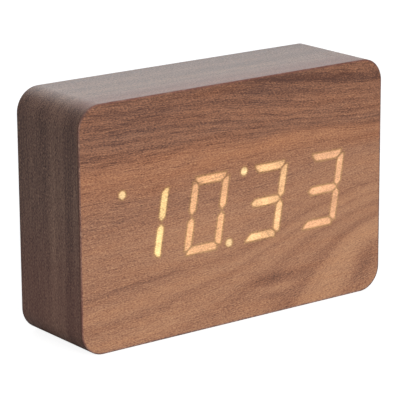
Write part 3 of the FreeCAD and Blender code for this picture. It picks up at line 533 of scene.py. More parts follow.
def front_level(recipe):
    """The grain line that a point of the front lies on, as its height at the left edge in mm."""
    across = (recipe.x - STATIONS[0]) / (STATIONS[-1] - STATIONS[0])
    sway = (recipe.noise(recipe.x * 0.022, 3.0, recipe.z * 0.05, 2.0) - 0.5) * 3.6
    ripple = (recipe.noise(recipe.x * 0.07, 7.0, recipe.z * 0.16, 2.0) - 0.5) * 1.6
    height = recipe.z + sway + ripple
    lines = []
    for _, heights in GRAIN_LINES:
        points = [
            ((x - STATIONS[0]) / (STATIONS[-1] - STATIONS[0]),
             (z - LINE_LOW) / (LINE_HIGH - LINE_LOW))
            for x, z in zip(STATIONS, heights)
        ]
        lines.append(recipe.curve(across, points) * (LINE_HIGH - LINE_LOW) + LINE_LOW)
    level = (height - lines[0]).smallest(0.0) * 0.6 + GRAIN_LINES[0][0]
    for place in range(1, len(lines)):
        gap = GRAIN_LINES[place][0] - GRAIN_LINES[place - 1][0]
        share = (height - lines[place - 1]) / (lines[place] - lines[place - 1])
        level = level + share.largest(0.0).smallest(1.0) * gap
    return level + (height - lines[-1]).largest(0.0)


# How light the front is at levels of its grain, in mm: 0 for dark streaks, 1 for light bands
FRONT_TONES = (
    (-60, 0.6), (-54, 0.56), (-49, 0.46), (-45, 0.48), (-41, 0.64), (-36, 0.7),
    (-30, 0.68), (-26, 0.56), (-22, 0.43), (-18, 0.52), (-12, 0.57), (-8, 0.55), (-4, 0.47),
    (0, 0.58), (4, 0.6), (8, 0.56), (9.5, 0.5), (11, 0.54), (15, 0.63), (19, 0.56),
    (22, 0.5), (23, 0.44), (25, 0.52), (29, 0.54), (33, 0.53), (36, 0.54), (40, 0.55),
    (46, 0.51), (52, 0.47), (60, 0.47), (65, 0.48), (67, 0.5), (70, 0.55), (72.5, 0.52),
    (74, 0.45), (75, 0.47), (76.3, 0.34), (77.6, 0.4), (79.3, 0.26), (80.6, 0.36),
    (82.5, 0.38), (83.8, 0.26), (84.8, 0.37), (86.4, 0.28), (87.2, 0.21), (88.4, 0.39),
    (90.5, 0.3), (92, 0.39), (95, 0.27), (97, 0.36), (100, 0.27), (103, 0.33), (105.5, 0.08),
    (107, 0.12), (109, 0.32),
)
FRONT_TONE_LOW, FRONT_TONE_HIGH = -60.0, 115.0

# Patches of other tone low on the front: middle, reach, slope, and how much lighter they are
ISLANDS = (
    ((21, 14.8), (21, 4.2), 0.02, -0.24),
    ((18, 7.4), (11, 2.2), -0.02, -0.14),
    ((25, 10.6), (11, 2.0), 0.0, 0.1),
    ((-40, 26.5), (32, 2.0), 0.09, -0.08),
    ((67, 14), (9, 14), 0.4, -0.13),
    ((-20, 37), (40, 20), 0.05, 0.08),
    ((-32, 4), (44, 10), 0.05, 0.07),
    ((12, 95), (50, 10), -0.08, -0.1),
    ((70, 69), (18, 8), 0.0, -0.08),
    ((-48, 93), (46, 10), -0.02, -0.09),
)


def islands(recipe):
    """How much lighter or darker the long patches make a point of the front."""
    total = 0.0
    for middle, reach, slope, lift in ISLANDS:
        along = recipe.x - middle[0]
        up = (recipe.z - middle[1] - along * slope) / reach[1]
        along = along / reach[0]
        total = recipe.rise((along * along + up * up).root(), 1.0, 0.1) * lift + total
    return total


# Where the dark, middle and light colours of a palette lie in the walnut's mix
WALNUT_STOPS = (0.05, 0.5, 0.95)
RED_PALETTE = (srgb(92, 52, 34), srgb(168, 111, 80), srgb(208, 150, 104))
WRAP_PALETTE = (srgb(88, 67, 63), srgb(158, 121, 107), srgb(204, 168, 142))


def walnut(
    recipe, along, across, fine, tone, palette, figure=1.0, lines=0.1, streak=0.4, dashes=0.06,
    skew=0.0,
):
    """Walnut mix, colour, roughness and height from places along and across the grain in mm."""
    bands = recipe.noise(along * 0.010, across * 0.16, 0.0, 4.0, 0.55)
    streaks = recipe.noise(along * 0.013, across * 0.9, 9.0, 4.0, 0.66)
    fibres = recipe.noise(along * 0.15 + fine * skew, fine * 2.6, 17.0, 3.0, 0.66)
    pores = recipe.noise(along * 0.25 + fine * skew, fine * 2.6, 31.0, 2.0, 0.5)
    fleck = recipe.noise(along + fine * skew * 2.0, fine * 2.7, 53.0, 3.0, 0.72)
    strokes = recipe.noise(along * 0.06, across * 1.35, 91.0, 3.0, 0.6)
    pore = recipe.rise(pores, 0.60, 0.72)
    line = recipe.rise(streaks, 0.54, 0.64)
    dash = recipe.rise(strokes, 0.53, 0.68)
    mixed = (bands - 0.5) * 0.08 + (streaks - 0.5) * streak + (fibres - 0.5) * 0.85
    mixed = tone + (mixed + (fleck - 0.5) * 1.9) * figure - line * lines - dash * dashes
    colour = recipe.ramp(mixed, tuple(zip(WALNUT_STOPS, palette)))
    colour = recipe.blend(pore * 0.45, colour, palette[0])
    roughness = 0.46 + (fibres - 0.5) * 0.2 + pore * 0.12
    height = 0.5 + (fibres - 0.5) * 0.7 - pore * 0.5
    return mixed, colour, roughness, height


def front_walnut(name):
    """The front veneer: walnut whose grain swoops at the lower right, with the figures' glow."""
    recipe = Recipe(name)
    finish = bpy.context.scene.clock_finish
    sizes = bpy.context.scene.clock_sizes
    level = front_level(recipe)
    span = FRONT_TONE_HIGH - FRONT_TONE_LOW
    tones = [((place - FRONT_TONE_LOW) / span, tone) for place, tone in FRONT_TONES]
    tone = recipe.curve((level - FRONT_TONE_LOW) / span, tones)
    # The recipe.x * 0.0004 term is painted light: the front grows lighter towards its right
    tone = tone + islands(recipe) + recipe.x * 0.0004 + 0.03
    palette = (finish.walnut_dark, finish.walnut_middle, finish.walnut_light)
    high = recipe.rise(level, 68.0, 78.0)
    mixed, colour, roughness, height = walnut(
        recipe, recipe.x, level, level * 0.35 + recipe.z * 0.65, tone, palette,
        lines=0.04 + high * 0.1, streak=0.3 + high * 0.3,
        dashes=0.1 + recipe.rise(level, 36.0, 60.0) * 0.13, skew=0.35,
    )
    red = recipe.ramp(mixed, tuple(zip(WALNUT_STOPS, RED_PALETTE)))
    cloud = recipe.noise(recipe.x * 0.03, recipe.z * 0.22, 71.0, 3.0, 0.6)
    band = recipe.rise(level, 54.0, 68.0) * recipe.rise(level, 88.0, 72.0)
    warmth = band * 0.6 + recipe.rise(level, 82.0, 92.0) * 0.25 + (cloud - 0.42) * 1.2
    colour = recipe.blend(warmth, colour, red)
    left, right = CADBOX[0][0] / MM, CADBOX[1][0] / MM
    # Painted highlight: a pale line along the front's left arris, where it would catch the light
    painted_arris_highlight = recipe.rise(recipe.x, left + 0.8, left + 0.1) * 0.3
    colour = recipe.blend(painted_arris_highlight, colour, srgb(214, 178, 150))
    # Painted shade: the front darkens within about a millimetre of its right edge and its bottom
    # edge
    foot = recipe.rise(recipe.z, 1.0, 0.1)
    edge = recipe.rise(recipe.x, right - 1.1, right - 0.1).largest(foot)
    colour = recipe.blend(edge * 0.35, colour, finish.walnut_dark)
    light = lit_colour(recipe, sizes, finish.reading, mixed - tone)
    return recipe.finish(
        colour, roughness, height, 0.05, specular_ior_level=0.4,
        emission_color=light, emission_strength=finish.glow_strength,
    )


GLOW_TINTS = {
    "lit_hour_tens": (0.66, 0.5, 0.2),
    "lit_hour_units": (0.51, 0.29, 0.135),
    "lit_minute_tens": (0.6, 0.38, 0.175),
    "lit_minute_units": (0.5, 0.28, 0.145),
    "dots": (0.66, 0.52, 0.25),
}
HALO_TINT = (0.045, 0.04, 0.0)


def lit_colour(recipe, sizes, reading, figure):
    """The light that comes through the veneer: bright in the segments, faint round them."""
    cloud = recipe.noise(recipe.x * 0.11, recipe.z * 0.13, 37.0, 2.0, 0.6)
    grain = (1.08 + figure * 1.1) * (0.35 + cloud * 1.3)
    light = (0.0, 0.0, 0.0)
    nearest = None
    for name, distance in figure_distances(recipe, sizes, reading).items():
        inside = recipe.rise(distance, 0.32, -0.5)
        light = recipe.sum_colours(light, recipe.shade(GLOW_TINTS[name], inside * grain))
        nearest = distance if nearest is None else nearest.smallest(distance)
    halo = recipe.rise(nearest, 1.2, 0.1) * recipe.rise(nearest, -0.3, 0.1)
    return recipe.sum_colours(light, recipe.shade(HALO_TINT, halo * grain))


# How much lighter the wrapped veneer is at places from the front (low y) to the back, in mm
WRAP_TONES = (
    (-21, 0.5), (-18, 0.52), (-15, 0.43), (-12, 0.49), (-9.5, 0.62), (-6, 0.5), (-3, 0.6),
    (1, 0.49), (8, 0.43), (14, 0.4), (21, 0.38),
)
WRAP_REACH = 21.0


def wrap_walnut(name):
    """The veneer that runs over the top and down the sides, its grain along that way."""
    recipe = Recipe(name)
    x, y, z = recipe.x, recipe.y, recipe.z
    wobble = (recipe.noise(x * 0.02, y * 0.05, z * 0.02, 2.0) - 0.5) * 3.0
    sway = (recipe.noise(x * 0.015, y * 0.03, z * 0.015, 2.0) - 0.5) * 8.0
    across = y + sway
    top = CADBOX[1][2] / MM
    right = recipe.math("GREATER_THAN", x, 0.0)
    along = x + recipe.between(right, z, 2 * top - z)
    places = [((place + WRAP_REACH) / (2 * WRAP_REACH), tone) for place, tone in WRAP_TONES]
    stripes = recipe.curve((y + wobble + WRAP_REACH) / (2 * WRAP_REACH), places)
    wide = recipe.noise(x * 0.004, across * 0.1, z * 0.004, 2.0, 0.5)
    # Painted shade: the upper part of the left side is darker towards its rounded top corner
    painted_shoulder_shade = recipe.rise(z, 50.0, 92.0) * recipe.rise(x, -70.0, -76.0)
    warm = recipe.rise(y, -4.0, -20.0) * recipe.rise(z, 97.0, 99.7)
    tone = stripes - 0.09 + (wide - 0.5) * 0.6 - x * 0.0009 - painted_shoulder_shade * 0.09
    tone = tone - warm * recipe.rise(x, -30.0, 60.0) * 0.1
    _, colour, roughness, height = walnut(
        recipe, along, across, across, tone, WRAP_PALETTE, figure=1.6, lines=0.04,
    )
    foot = recipe.rise(z, 66.0, 16.0) * recipe.rise(x, -70.0, -76.0)
    colour = recipe.blend(warm * 0.4 + foot * 0.2, colour, srgb(172, 100, 84))
    front = recipe.rise(y, -19.6, -21.2)
    colour = recipe.blend(front * 0.5, colour, srgb(96, 50, 36))
    return recipe.finish(colour, roughness, height, 0.05)


def plain_walnut(name, level):
    """A sheet with its grain from left to right: the strip under the base, or the back."""
    recipe = Recipe(name)
    across = recipe.z if level == "z" else recipe.y
    sway = (recipe.noise(recipe.x * 0.018, 4.0, across * 0.04, 2.0) - 0.5) * 9.0
    wide = recipe.noise(recipe.x * 0.006, 8.0, (across + sway) * 0.09, 2.0, 0.5)
    _, colour, roughness, height = walnut(
        recipe, recipe.x, across + sway, across + sway, 0.4 + (wide - 0.5) * 0.7,
        WRAP_PALETTE, lines=0.06, streak=0.55,
    )
    return recipe.finish(colour, roughness, height, 0.05)


class CLOCK_OT_front(bpy.types.Operator):
    """Veneers the front and lights its figures"""

    bl_idname = "clock.front"
    bl_label = "Front veneer and figures"

    def execute(self, context):
        dress(front_walnut("walnut_front"), "front_veneer", "lit_colon", "lit_indicator", *FIGURES)
        return {"FINISHED"}


class CLOCK_OT_wrap(bpy.types.Operator):
    """Veneers the sides, the top, the base and the back"""

    bl_idname = "clock.wrap"
    bl_label = "Wrapped veneer"

    def execute(self, context):
        dress(wrap_walnut("walnut_wrap"), "wrap_veneer")
        dress(plain_walnut("walnut_base", "y"), "base_veneer")
        dress(plain_walnut("walnut_back", "z"), "back_veneer")
        return {"FINISHED"}


def fibreboard(name):
    """The core: pressed brown fibres, felted every way, with a few dark bundles."""
    recipe = Recipe(name)
    x, y, z = recipe.x, recipe.y, recipe.z
    felt = recipe.even(1.6, 6.0, 0.7, 1.2)
    strands = recipe.noise(x * 0.7, y * 4.0, z * 0.7, 3.0, 0.6, 2.0)
    bundles = recipe.rise(recipe.cells(x * 0.8, y * 1.5, z * 0.8), 0.22, 0.05)
    colour = recipe.ramp(
        felt * 0.6 + strands * 0.4,
        ((0.3, srgb(112, 80, 52)), (0.5, srgb(151, 115, 80)),
         (0.75, srgb(184, 150, 110))),
    )
    colour = recipe.blend(bundles * 0.4, colour, srgb(84, 56, 36))
    return recipe.finish(colour, 0.86 + felt * 0.1, felt * 0.7 + strands * 0.3, 0.12)


def moulded(name, colour, roughness=0.5, grain=5.0, depth=0.02, marks=0.12):
    """Moulded plastic with an eroded grain, handling marks and slight unevenness."""
    recipe = Recipe(name)
    pits = recipe.even(grain, 2.0, 0.6)
    haze = recipe.even(0.09, 4.0, 0.65, 0.8)
    marked = recipe.noise(recipe.x * 0.5, recipe.y * 0.5, recipe.z * 2.6, 4.0, 0.7)
    scuff = recipe.rise(marked, 0.62, 0.78)
    tinted = recipe.shade(colour, 0.9 + haze * 0.2 + (pits - 0.5) * 0.22 + scuff * marks)
    shine = roughness + (haze - 0.5) * marks * 2 + (pits - 0.5) * 0.1 + scuff * 0.1
    return recipe.finish(tinted, shine, pits, depth)


def plated(name, colour, roughness=0.28, scratch=0.06):
    """Rolled and plated sheet or turned metal, with fine drawn lines and dull patches."""
    recipe = Recipe(name)
    drawn = recipe.noise(recipe.x * 0.6, recipe.y * 9.0, recipe.z * 9.0, 3.0, 0.7)
    patch = recipe.even(0.35, 4.0, 0.6, 0.6)
    tinted = recipe.shade(colour, 0.86 + patch * 0.2 + (drawn - 0.5) * 0.12)
    shine = roughness + (patch - 0.5) * 0.25 + (drawn - 0.5) * 0.12
    return recipe.finish(tinted, shine, drawn, scratch * 0.1, metallic=1.0)


TRACK_HALF_PITCH = 0.635


def circuit_board(name):
    """Green lacquer over copper tracks, with glass weave showing at the cut edges."""
    recipe = Recipe(name)
    x, z = recipe.x, recipe.z
    rows = recipe.math("PINGPONG", z, TRACK_HALF_PITCH) / TRACK_HALF_PITCH
    columns = recipe.math("PINGPONG", x, TRACK_HALF_PITCH) / TRACK_HALF_PITCH
    level = recipe.rise(recipe.noise(x * 0.05, 5.0, z * 0.35, 1.0), 0.50, 0.52)
    upright = recipe.rise(recipe.noise(x * 0.35, 11.0, z * 0.05, 1.0), 0.54, 0.56)
    tracks = (recipe.rise(rows, 0.62, 0.72) * level).largest(
        recipe.rise(columns, 0.62, 0.72) * upright
    )
    joints = recipe.cells(x * 0.22, 0.0, z * 0.22)
    pads = recipe.rise(joints, 0.17, 0.15)
    holes = recipe.rise(joints, 0.075, 0.06)
    weave = recipe.even(2.2, 2.0)
    lacquer = recipe.shade(srgb(24, 92, 58), 0.85 + weave * 0.3)
    colour = recipe.blend(tracks * 0.6, lacquer, srgb(58, 134, 84))
    colour = recipe.blend(pads, colour, srgb(190, 190, 184))
    colour = recipe.blend(holes, colour, srgb(26, 28, 24))
    shine = 0.3 + weave * 0.1 + pads * 0.05
    return recipe.finish(colour, shine, tracks * 0.4 + pads * 0.5 - holes, 0.05)


def diffuser(name):
    """Milky film that spreads the light of each cavity."""
    recipe = Recipe(name)
    cloud = recipe.noise(recipe.x * 0.3, recipe.y, recipe.z * 0.3, 3.0)
    grain = recipe.even(5.0, 2.0)
    colour = recipe.ramp(
        cloud, ((0.3, srgb(228, 226, 218)), (0.7, srgb(246, 245, 240)))
    )
    return recipe.finish(colour, 0.55 + grain * 0.2, grain, 0.01, transmission_weight=0.35)


def reflector(name):
    """White resin of the display block, warm where the yellow light spills in its cavities."""
    recipe = Recipe(name)
    low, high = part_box("display_reflector")
    depth = (recipe.y - low[1] / MM) / ((high[1] - low[1]) / MM)
    flow = recipe.noise(recipe.x * 0.12, recipe.y * 0.4, recipe.z * 0.12, 3.0, 0.6, 0.8)
    grain = recipe.even(4.0, 2.0)
    colour = recipe.ramp(
        flow, ((0.3, srgb(222, 221, 214)), (0.7, srgb(240, 239, 233)))
    )
    colour = recipe.blend(recipe.rise(depth, 0.55, 1.0) * 0.35, colour, srgb(246, 224, 160))
    return recipe.finish(colour, 0.42 + grain * 0.14, grain, 0.012)


def led_body(name):
    """The small lights' resin, glowing amber."""
    recipe = Recipe(name)
    cloud = recipe.even(1.5, 2.0)
    colour = recipe.ramp(
        cloud, ((0.35, srgb(238, 190, 60)), (0.65, srgb(255, 226, 130)))
    )
    return recipe.finish(
        colour, 0.3 + cloud * 0.1, cloud, 0.01, emission_color=colour, emission_strength=0.8
    )


def ribbon(name):
    """Grey ribbon cable: ten insulated wires side by side, one of them marked."""
    recipe = Recipe(name)
    low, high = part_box("ribbon_cable")
    pitch = (high[0] - low[0]) / MM / bpy.context.scene.clock_wiring.ribbon_wires
    along = (recipe.x - low[0] / MM) / pitch
    # Painted shade: each wire is lighter at its crown and darker in the valleys between the wires
    painted_rib_shading = recipe.math("PINGPONG", along, 0.5) * 2.0
    marked = recipe.rise(along, 1.04, 0.96)
    smear = recipe.even(0.5)
    colour = recipe.shade(srgb(160, 160, 158), 0.62 + painted_rib_shading * 0.4 + smear * 0.1)
    colour = recipe.blend(marked * 0.85, colour, srgb(170, 40, 36))
    return recipe.finish(colour, 0.42 + smear * 0.15, smear, 0.02)


def sleeve(name):
    """Battery sleeves: plain blue, with a pale band at the raised end, and bare steel ends."""
    recipe = Recipe(name)
    low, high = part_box("battery_cells")
    pitch = (high[2] - low[2]) / MM / CELL_ROWS
    row = recipe.math("FLOOR", (recipe.z - low[2] / MM) / pitch)
    turned = recipe.math("MODULO", row, 2.0)
    share = (recipe.x - low[0] / MM) / ((high[0] - low[0]) / MM)
    from_nub = recipe.between(turned, 1.0 - share, share)
    band = recipe.rise(from_nub, 0.315, 0.305)
    bare = recipe.rise(from_nub, 0.022, 0.02).largest(recipe.rise(from_nub, 0.984, 0.986))
    line = recipe.rise(abs(from_nub - 0.325), 0.006, 0.004)
    wrap = recipe.noise(recipe.x * 0.2, recipe.y * 0.8, recipe.z * 0.8, 3.0)
    fine = recipe.even(6.0, 2.0)
    colour = recipe.shade(srgb(72, 116, 152), 0.85 + wrap * 0.3)
    pale = recipe.shade(srgb(198, 204, 208), 0.85 + wrap * 0.3)
    colour = recipe.blend(band, colour, pale)
    colour = recipe.blend(line, colour, srgb(40, 66, 92))
    colour = recipe.blend(bare, colour, srgb(196, 196, 194))
    shine = 0.3 + wrap * 0.1 + fine * 0.06
    return recipe.finish(colour, shine, fine, 0.006, metallic=bare)


def insulated(name, colour):
    """A thin stranded wire's soft insulation."""
    recipe = Recipe(name)
    smear = recipe.even(0.8, 3.0, 0.6)
    grip = recipe.even(7.0, 1.0)
    return recipe.finish(recipe.shade(colour, 0.8 + smear * 0.4), 0.4 + smear * 0.2, grip, 0.01)


class CLOCK_OT_core(bpy.types.Operator):
    """Finishes the fibreboard core behind the veneers"""

    bl_idname = "clock.core"
    bl_label = "Fibreboard core"

    def execute(self, context):
        dress(fibreboard("fibreboard"), "case_body")
        return {"FINISHED"}


class CLOCK_OT_display(bpy.types.Operator):
    """Finishes the film, the reflector block, the lights and their board"""

    bl_idname = "clock.display"
    bl_label = "Display"

    def execute(self, context):
        dress(diffuser("diffuser_white"), "diffuser_film")
        dress(reflector("reflector_white"), "display_reflector")
        dress(led_body("led_yellow"), "display_leds")
        dress(circuit_board("circuit_board"), "display_board", "control_board")
        dress(
            plated("zinc_steel", srgb(186, 188, 190), 0.34),
            "display_screws", "control_board_screws",
        )
        return {"FINISHED"}


class CLOCK_OT_controls(bpy.types.Operator):
    """Finishes the chips, the switches, the sounder and the parts beside them"""

    bl_idname = "clock.controls"
    bl_label = "Controls"

    def execute(self, context):
        chip = moulded("chip_black", srgb(40, 40, 42), 0.55, grain=7.0, depth=0.015, marks=0.06)
        switch = moulded("switch_black", srgb(48, 48, 50), 0.42, 6.0)
        dress(chip, "display_driver", "controller_chip")
        dress(switch, "tact_switches")
        dress(plated("switch_shell", srgb(186, 188, 190), 0.34), "slide_switch")
        dress(moulded("connector_white", srgb(226, 220, 204), 0.4), "ribbon_connectors")
        dress(plated("crystal_can", srgb(202, 203, 204), 0.2), "clock_crystal")
        dress(moulded("sounder_black", srgb(34, 34, 36), 0.36, 5.0), "sounder")
        dress(plated("microphone_can", srgb(176, 178, 178), 0.3), "microphone")
        dress(moulded("sensor_black", srgb(28, 26, 26), 0.3, 8.0), "temperature_sensor")
        return {"FINISHED"}


def keep(name, shape, material):
    """Turns finished geometry into an object that rides on the case."""
    bmesh.ops.recalc_face_normals(shape, faces=shape.faces)
    for face in shape.faces:
        face.smooth = True
    mesh = bpy.data.meshes.new(name)
    shape.to_mesh(mesh)
    shape.free()
    piece = bpy.data.objects.new(name, mesh)
    bpy.context.scene.collection.objects.link(piece)
    mesh.materials.append(material)
    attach(piece, "case")
    return piece


# How many straight steps stand for a rib's curve and for a bend
RIB_STEPS = 8
BEND_STEPS = 10


def ribbon_profile(shape, width, place, sizes):
    """Draws the ribbon's cross section about a place: a round rib for each wire, both sides."""
    pitch = width / sizes.ribbon_wires
    crown = sizes.ribbon_thickness / 2
    web = crown * sizes.ribbon_web
    radius = ((pitch / 2) ** 2 + (crown - web) ** 2) / (crown - web) / 2
    ends = []
    for side in (1, -1):
        last = shape.verts.new((place[0] - side * width / 2, place[1], place[2] + side * web))
        ends.append(last)
        for wire in range(sizes.ribbon_wires):
            across = side * ((wire + 0.5) * pitch - width / 2)
            centre = (place[0] + across, place[1], place[2] + side * (crown - radius))
            rib = bmesh.ops.spin(
                shape, geom=[last], cent=centre, axis=(0, 1, 0), dvec=(0, 0, 0),
                angle=2 * math.asin(pitch / 2 / radius), steps=RIB_STEPS,
            )
            last = next(part for part in rib["geom_last"] if isinstance(part, bmesh.types.BMVert))
        ends.append(last)
    shape.edges.new((ends[1], ends[2]))
    shape.edges.new((ends[3], ends[0]))
    return shape.edges[:]


def open_edges(parts):
    """The edges among some new parts that have a face on one side only."""
    return [part for part in parts if isinstance(part, bmesh.types.BMEdge) and part.is_boundary]


def corners(ring):
    """The vertices of a ring of edges, each one once."""
    return list(dict.fromkeys(vert for edge in ring for vert in edge.verts))


def run_on(shape, ring, step):
    """Draws a ring of edges on by a straight step, and gives the ring at its end."""
    ring = open_edges(bmesh.ops.extrude_edge_only(shape, edges=ring)["geom"])
    bmesh.ops.translate(shape, verts=corners(ring), vec=step)
    return ring


def bend_on(shape, ring, y, z, angle):
    """Draws a ring of edges on round a bend about the line at y and z, and gives its end."""
    bent = bmesh.ops.spin(
        shape, geom=corners(ring) + ring, cent=(0, y, z), axis=(1, 0, 0), dvec=(0, 0, 0),
        angle=angle, steps=BEND_STEPS,
    )
    return open_edges(bent["geom_last"])


class CLOCK_OT_ribbon(bpy.types.Operator):
    """Models the ribbon cable with a round rib for each of its wires"""

    bl_idname = "clock.ribbon"
    bl_label = "Ribbon cable"

    def execute(self, context):
        sizes = context.scene.clock_wiring
        low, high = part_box("ribbon_cable")
        half = sizes.ribbon_thickness / 2
        bend = sizes.ribbon_bend
        middle = (low[1] + high[1]) / 2
        run = (high[1] - low[1]) / 2 - bend
        foot, head = low[2] + half, high[2] - half
        shape = bmesh.new()
        place = ((low[0] + high[0]) / 2, low[1], foot)
        first = ribbon_profile(shape, high[0] - low[0], place, sizes)
        ring = run_on(shape, first, (0, run, 0))
        ring = bend_on(shape, ring, middle - bend, foot + bend, math.pi / 2)
        ring = run_on(shape, ring, (0, 0, head - foot - 2 * bend))
        ring = bend_on(shape, ring, middle + bend, head - bend, -math.pi / 2)
        last = run_on(shape, ring, (0, run, 0))
        for end in (first, last):
            bmesh.ops.edgeloop_fill(shape, edges=end)
        finish = ribbon("ribbon_grey")
        dress(finish, "ribbon_cable")
        piece = keep("ribbon_wires", shape, finish)
        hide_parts("ribbon_cable")
        return {"FINISHED"}


# The solder's bore as a share of the lead, its rim's width, how hollow its cheek is, its steps
SOLDER_SINK = 0.92
SOLDER_RIM = 0.04 * MM
SOLDER_HOLLOW = 2.4
SOLDER_STEPS = 40


def solder_ring(shape, place, sizes):
    """Adds one hollow-cheeked ring of solder that climbs a lead towards the front."""
    inner = sizes.lead_radius * SOLDER_SINK
    reach = sizes.solder_reach - inner
    height = sizes.solder_height
    profile = [(inner, 0.0), (inner + reach, 0.0)]
    for share in (0.12, 0.3, 0.55, 0.8, 1.0):
        cheek = reach * (1 - share) ** SOLDER_HOLLOW
        profile.append((inner + SOLDER_RIM + cheek, height * share))
    profile.append((inner, height))
    verts = [
        shape.verts.new((place[0] + radius, place[1] - climb, place[2]))
        for radius, climb in profile
    ]
    edges = [shape.edges.new(pair) for pair in zip(verts, verts[1:] + verts[:1])]
    bmesh.ops.spin(
        shape, geom=verts + edges, axis=(0, 1, 0), cent=place, dvec=(0, 0, 0),
        angle=math.tau, steps=SOLDER_STEPS, use_merge=True,
    )


class CLOCK_OT_solder(bpy.types.Operator):
    """Models the solder that holds both battery leads to the board and to their contacts"""

    bl_idname = "clock.solder"
    bl_label = "Solder"

    def execute(self, context):
        sizes = context.scene.clock_wiring
        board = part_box("control_board")[0][1]
        shape = bmesh.new()
        for lead in ("positive_lead", "negative_lead"):
            low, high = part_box(lead)
            z = low[2] + sizes.lead_radius
            solder_ring(shape, (low[0] + sizes.lead_radius, board, z), sizes)
            solder_ring(shape, (high[0] - sizes.lead_radius, high[1], z), sizes)
        keep("lead_solder", shape, plated("solder", srgb(204, 206, 208), 0.24))
        return {"FINISHED"}


class CLOCK_OT_rear(bpy.types.Operator):
    """Finishes the rear panel, the battery door, the buttons and the panel's screws"""

    bl_idname = "clock.rear"
    bl_label = "Rear panel and buttons"

    def execute(self, context):
        panel = moulded("panel_black", srgb(44, 44, 46), 0.55, grain=3.4, depth=0.035, marks=0.1)
        button = moulded(
            "button_black", srgb(30, 30, 32), 0.36, grain=6.0, depth=0.012, marks=0.16
        )
        dress(panel, "rear_panel", "battery_door")
        dress(
            button, "set_button", "down_button", "up_button", "slide_knob",
            "set_plunger", "down_plunger", "up_plunger",
        )
        dress(plated("panel_screw_steel", srgb(120, 120, 122), 0.36), "panel_screws")
        return {"FINISHED"}


class CLOCK_OT_power(bpy.types.Operator):
    """Finishes the supply socket, the battery cells, their contacts and leads"""

    bl_idname = "clock.power"
    bl_label = "Power"

    def execute(self, context):
        nickel = plated("nickel", srgb(206, 200, 188), 0.22)
        dress(moulded("socket_black", srgb(32, 32, 34), 0.4, 6.0), "supply_socket")
        dress(nickel, "socket_pin", "battery_contacts")
        dress(sleeve("cell_sleeve"), "battery_cells")
        dress(insulated("lead_red", srgb(172, 30, 28)), "positive_lead")
        dress(insulated("lead_black", srgb(30, 30, 32)), "negative_lead")
        return {"FINISHED"}


class CLOCK_OT_stage(bpy.types.Operator):
    """Sets the floor, the lights and the camera"""

    bl_idname = "clock.stage"
    bl_label = "Floor, lights and camera"

    def execute(self, context):
        scene = context.scene
        scene.view_settings.view_transform = "Standard"
        scene.view_settings.look = "None"
        lay_floor()
        light_room(scene.clock_stage)
        hang_light("key", KEY_PLACE, KEY_SIDE, scene.clock_stage.key_power)
        hang_light("back", BACK_PLACE, BACK_SIDE, scene.clock_stage.back_power)
        place_camera(scene, scene.clock_stage)
        return {"FINISHED"}


def lay_floor():
    """A wide pale floor, just under the base, that is see-through from below."""
    shape = bmesh.new()
    bmesh.ops.create_grid(shape, x_segments=1, y_segments=1, size=FLOOR_REACH)
    bmesh.ops.translate(shape, verts=shape.verts, vec=(0, 0, CADBOX[0][2] - FLOOR_DROP))
    mesh = bpy.data.meshes.new("floor")
    shape.to_mesh(mesh)
    shape.free()
    floor = bpy.data.objects.new("floor", mesh)
    bpy.context.scene.collection.objects.link(floor)
    mesh.materials.append(floor_paint())


def floor_paint():
    """Grey that looks white to the camera, is dimmer as light on the clock, and clear below."""
    recipe = Recipe("floor_paint")
    cloud = recipe.noise(recipe.x * 0.004, recipe.y * 0.004, 0.0, 2.0)
    mottled = recipe.shade(grey(FLOOR_GREY), 0.97 + cloud * 0.06)
    paint = recipe.join("ShaderNodeBsdfDiffuse", mottled)
    lift = recipe.join("ShaderNodeEmission", grey(1.0), FLOOR_WHITE)
    seen = recipe.join("ShaderNodeAddShader", paint, lift)
    dim = recipe.join("ShaderNodeBsdfDiffuse", grey(FLOOR_DIM))
    camera = recipe.add("ShaderNodeLightPath").outputs["Is Camera Ray"]
    upper = recipe.join("ShaderNodeMixShader", camera, dim, seen)
    clear = recipe.join("ShaderNodeBsdfTransparent")
    below = recipe.add("ShaderNodeNewGeometry").outputs["Backfacing"]
    return recipe.end(recipe.join("ShaderNodeMixShader", below, upper, clear))


def light_room(stage):
    """White behind the clock as the camera sees it, and dimmer as light on it."""
    world = bpy.data.worlds.new("room")
    bpy.context.scene.world = world
    world.use_nodes = True
    tree = world.node_tree
    tree.nodes.clear()
    path = tree.nodes.new("ShaderNodeLightPath")
    level = tree.nodes.new("ShaderNodeMapRange")
    level.inputs["To Min"].default_value = stage.room_light
    level.inputs["To Max"].default_value = BACKDROP
    tree.links.new(path.outputs["Is Camera Ray"], level.inputs[0])
    backdrop = tree.nodes.new("ShaderNodeBackground")
    tree.links.new(level.outputs[0], backdrop.inputs["Strength"])
    end = tree.nodes.new("ShaderNodeOutputWorld")
    tree.links.new(backdrop.outputs[0], end.inputs[0])


def hang_light(name, place, side, power):
    """A square soft light that faces the clock."""
    data = bpy.data.lights.new(name, "AREA")
    data.shape = "SQUARE"
    data.size = side
    data.energy = power
    lamp = bpy.data.objects.new(name, data)
    lamp.location = place
    aim = Vector((0, 0, CADBOX[1][2] / 2)) - Vector(place)
    lamp.rotation_euler = aim.to_track_quat("-Z", "Y").to_euler()
    bpy.context.scene.collection.objects.link(lamp)


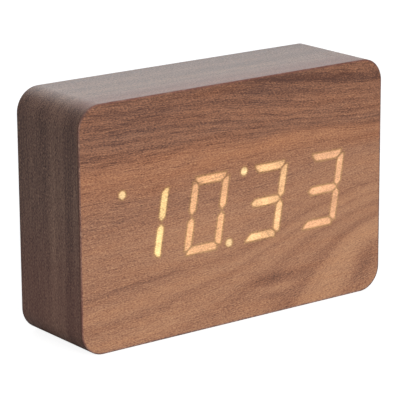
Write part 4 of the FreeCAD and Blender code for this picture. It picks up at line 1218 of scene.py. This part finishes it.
def place_camera(scene, stage):
    """Stands the camera where the photograph was taken from."""
    turn, height = stage.azimuth, stage.elevation
    back = Vector((
        math.sin(turn) * math.cos(height), -math.cos(turn) * math.cos(height), math.sin(height),
    ))
    level_right = Vector((0, 0, 1)).cross(back).normalized()
    level_up = back.cross(level_right)
    right = level_right * math.cos(stage.roll) + level_up * math.sin(stage.roll)
    up = level_up * math.cos(stage.roll) - level_right * math.sin(stage.roll)
    middle = Vector((0, 0, CADBOX[1][2] / 2))
    data = bpy.data.cameras.new("camera")
    data.sensor_width = SENSOR_MM
    data.lens = stage.focal_pixels * data.sensor_width / PHOTO_SIDE_PIXELS
    data.clip_start = NEAREST_SEEN
    camera = bpy.data.objects.new("camera", data)
    camera.location = middle + right * stage.aim[0] + up * stage.aim[1] + back * stage.distance
    camera.rotation_euler = Matrix((right, up, back)).transposed().to_euler()
    scene.collection.objects.link(camera)
    scene.camera = camera


class CLOCK_PT_panel(bpy.types.Panel):
    """The clock's pieces and sizes in the sidebar"""

    bl_idname = "CLOCK_PT_panel"
    bl_label = "Desk clock"
    bl_space_type = "VIEW_3D"
    bl_region_type = "UI"
    bl_category = "Desk clock"

    def draw(self, context):
        for operator in OPERATORS:
            self.layout.operator(operator.bl_idname)
        for group in GROUPS:
            values = getattr(context.scene, group)
            for name in values.__annotations__:
                self.layout.prop(values, name)


GROUPS = {
    "clock_sizes": ClockSizes, "clock_finish": ClockFinish, "clock_wiring": ClockWiring,
    "clock_stage": ClockStage,
}
OPERATORS = (
    CLOCK_OT_front, CLOCK_OT_wrap, CLOCK_OT_core, CLOCK_OT_display, CLOCK_OT_controls,
    CLOCK_OT_ribbon, CLOCK_OT_solder, CLOCK_OT_rear, CLOCK_OT_power, CLOCK_OT_stage,
)


def register():
    for group, kind in GROUPS.items():
        bpy.utils.register_class(kind)
        setattr(bpy.types.Scene, group, bpy.props.PointerProperty(type=kind))
    for operator in OPERATORS:
        bpy.utils.register_class(operator)
    bpy.utils.register_class(CLOCK_PT_panel)


def unregister():
    bpy.utils.unregister_class(CLOCK_PT_panel)
    for operator in reversed(OPERATORS):
        bpy.utils.unregister_class(operator)
    for group, kind in GROUPS.items():
        delattr(bpy.types.Scene, group)
        bpy.utils.unregister_class(kind)


def main():
    register()
    bpy.ops.clock.front()
    bpy.ops.clock.wrap()
    bpy.ops.clock.core()
    bpy.ops.clock.display()
    bpy.ops.clock.controls()
    bpy.ops.clock.ribbon()
    bpy.ops.clock.solder()
    bpy.ops.clock.rear()
    bpy.ops.clock.power()
    bpy.ops.clock.stage()


if __name__ == "__main__":
    main()
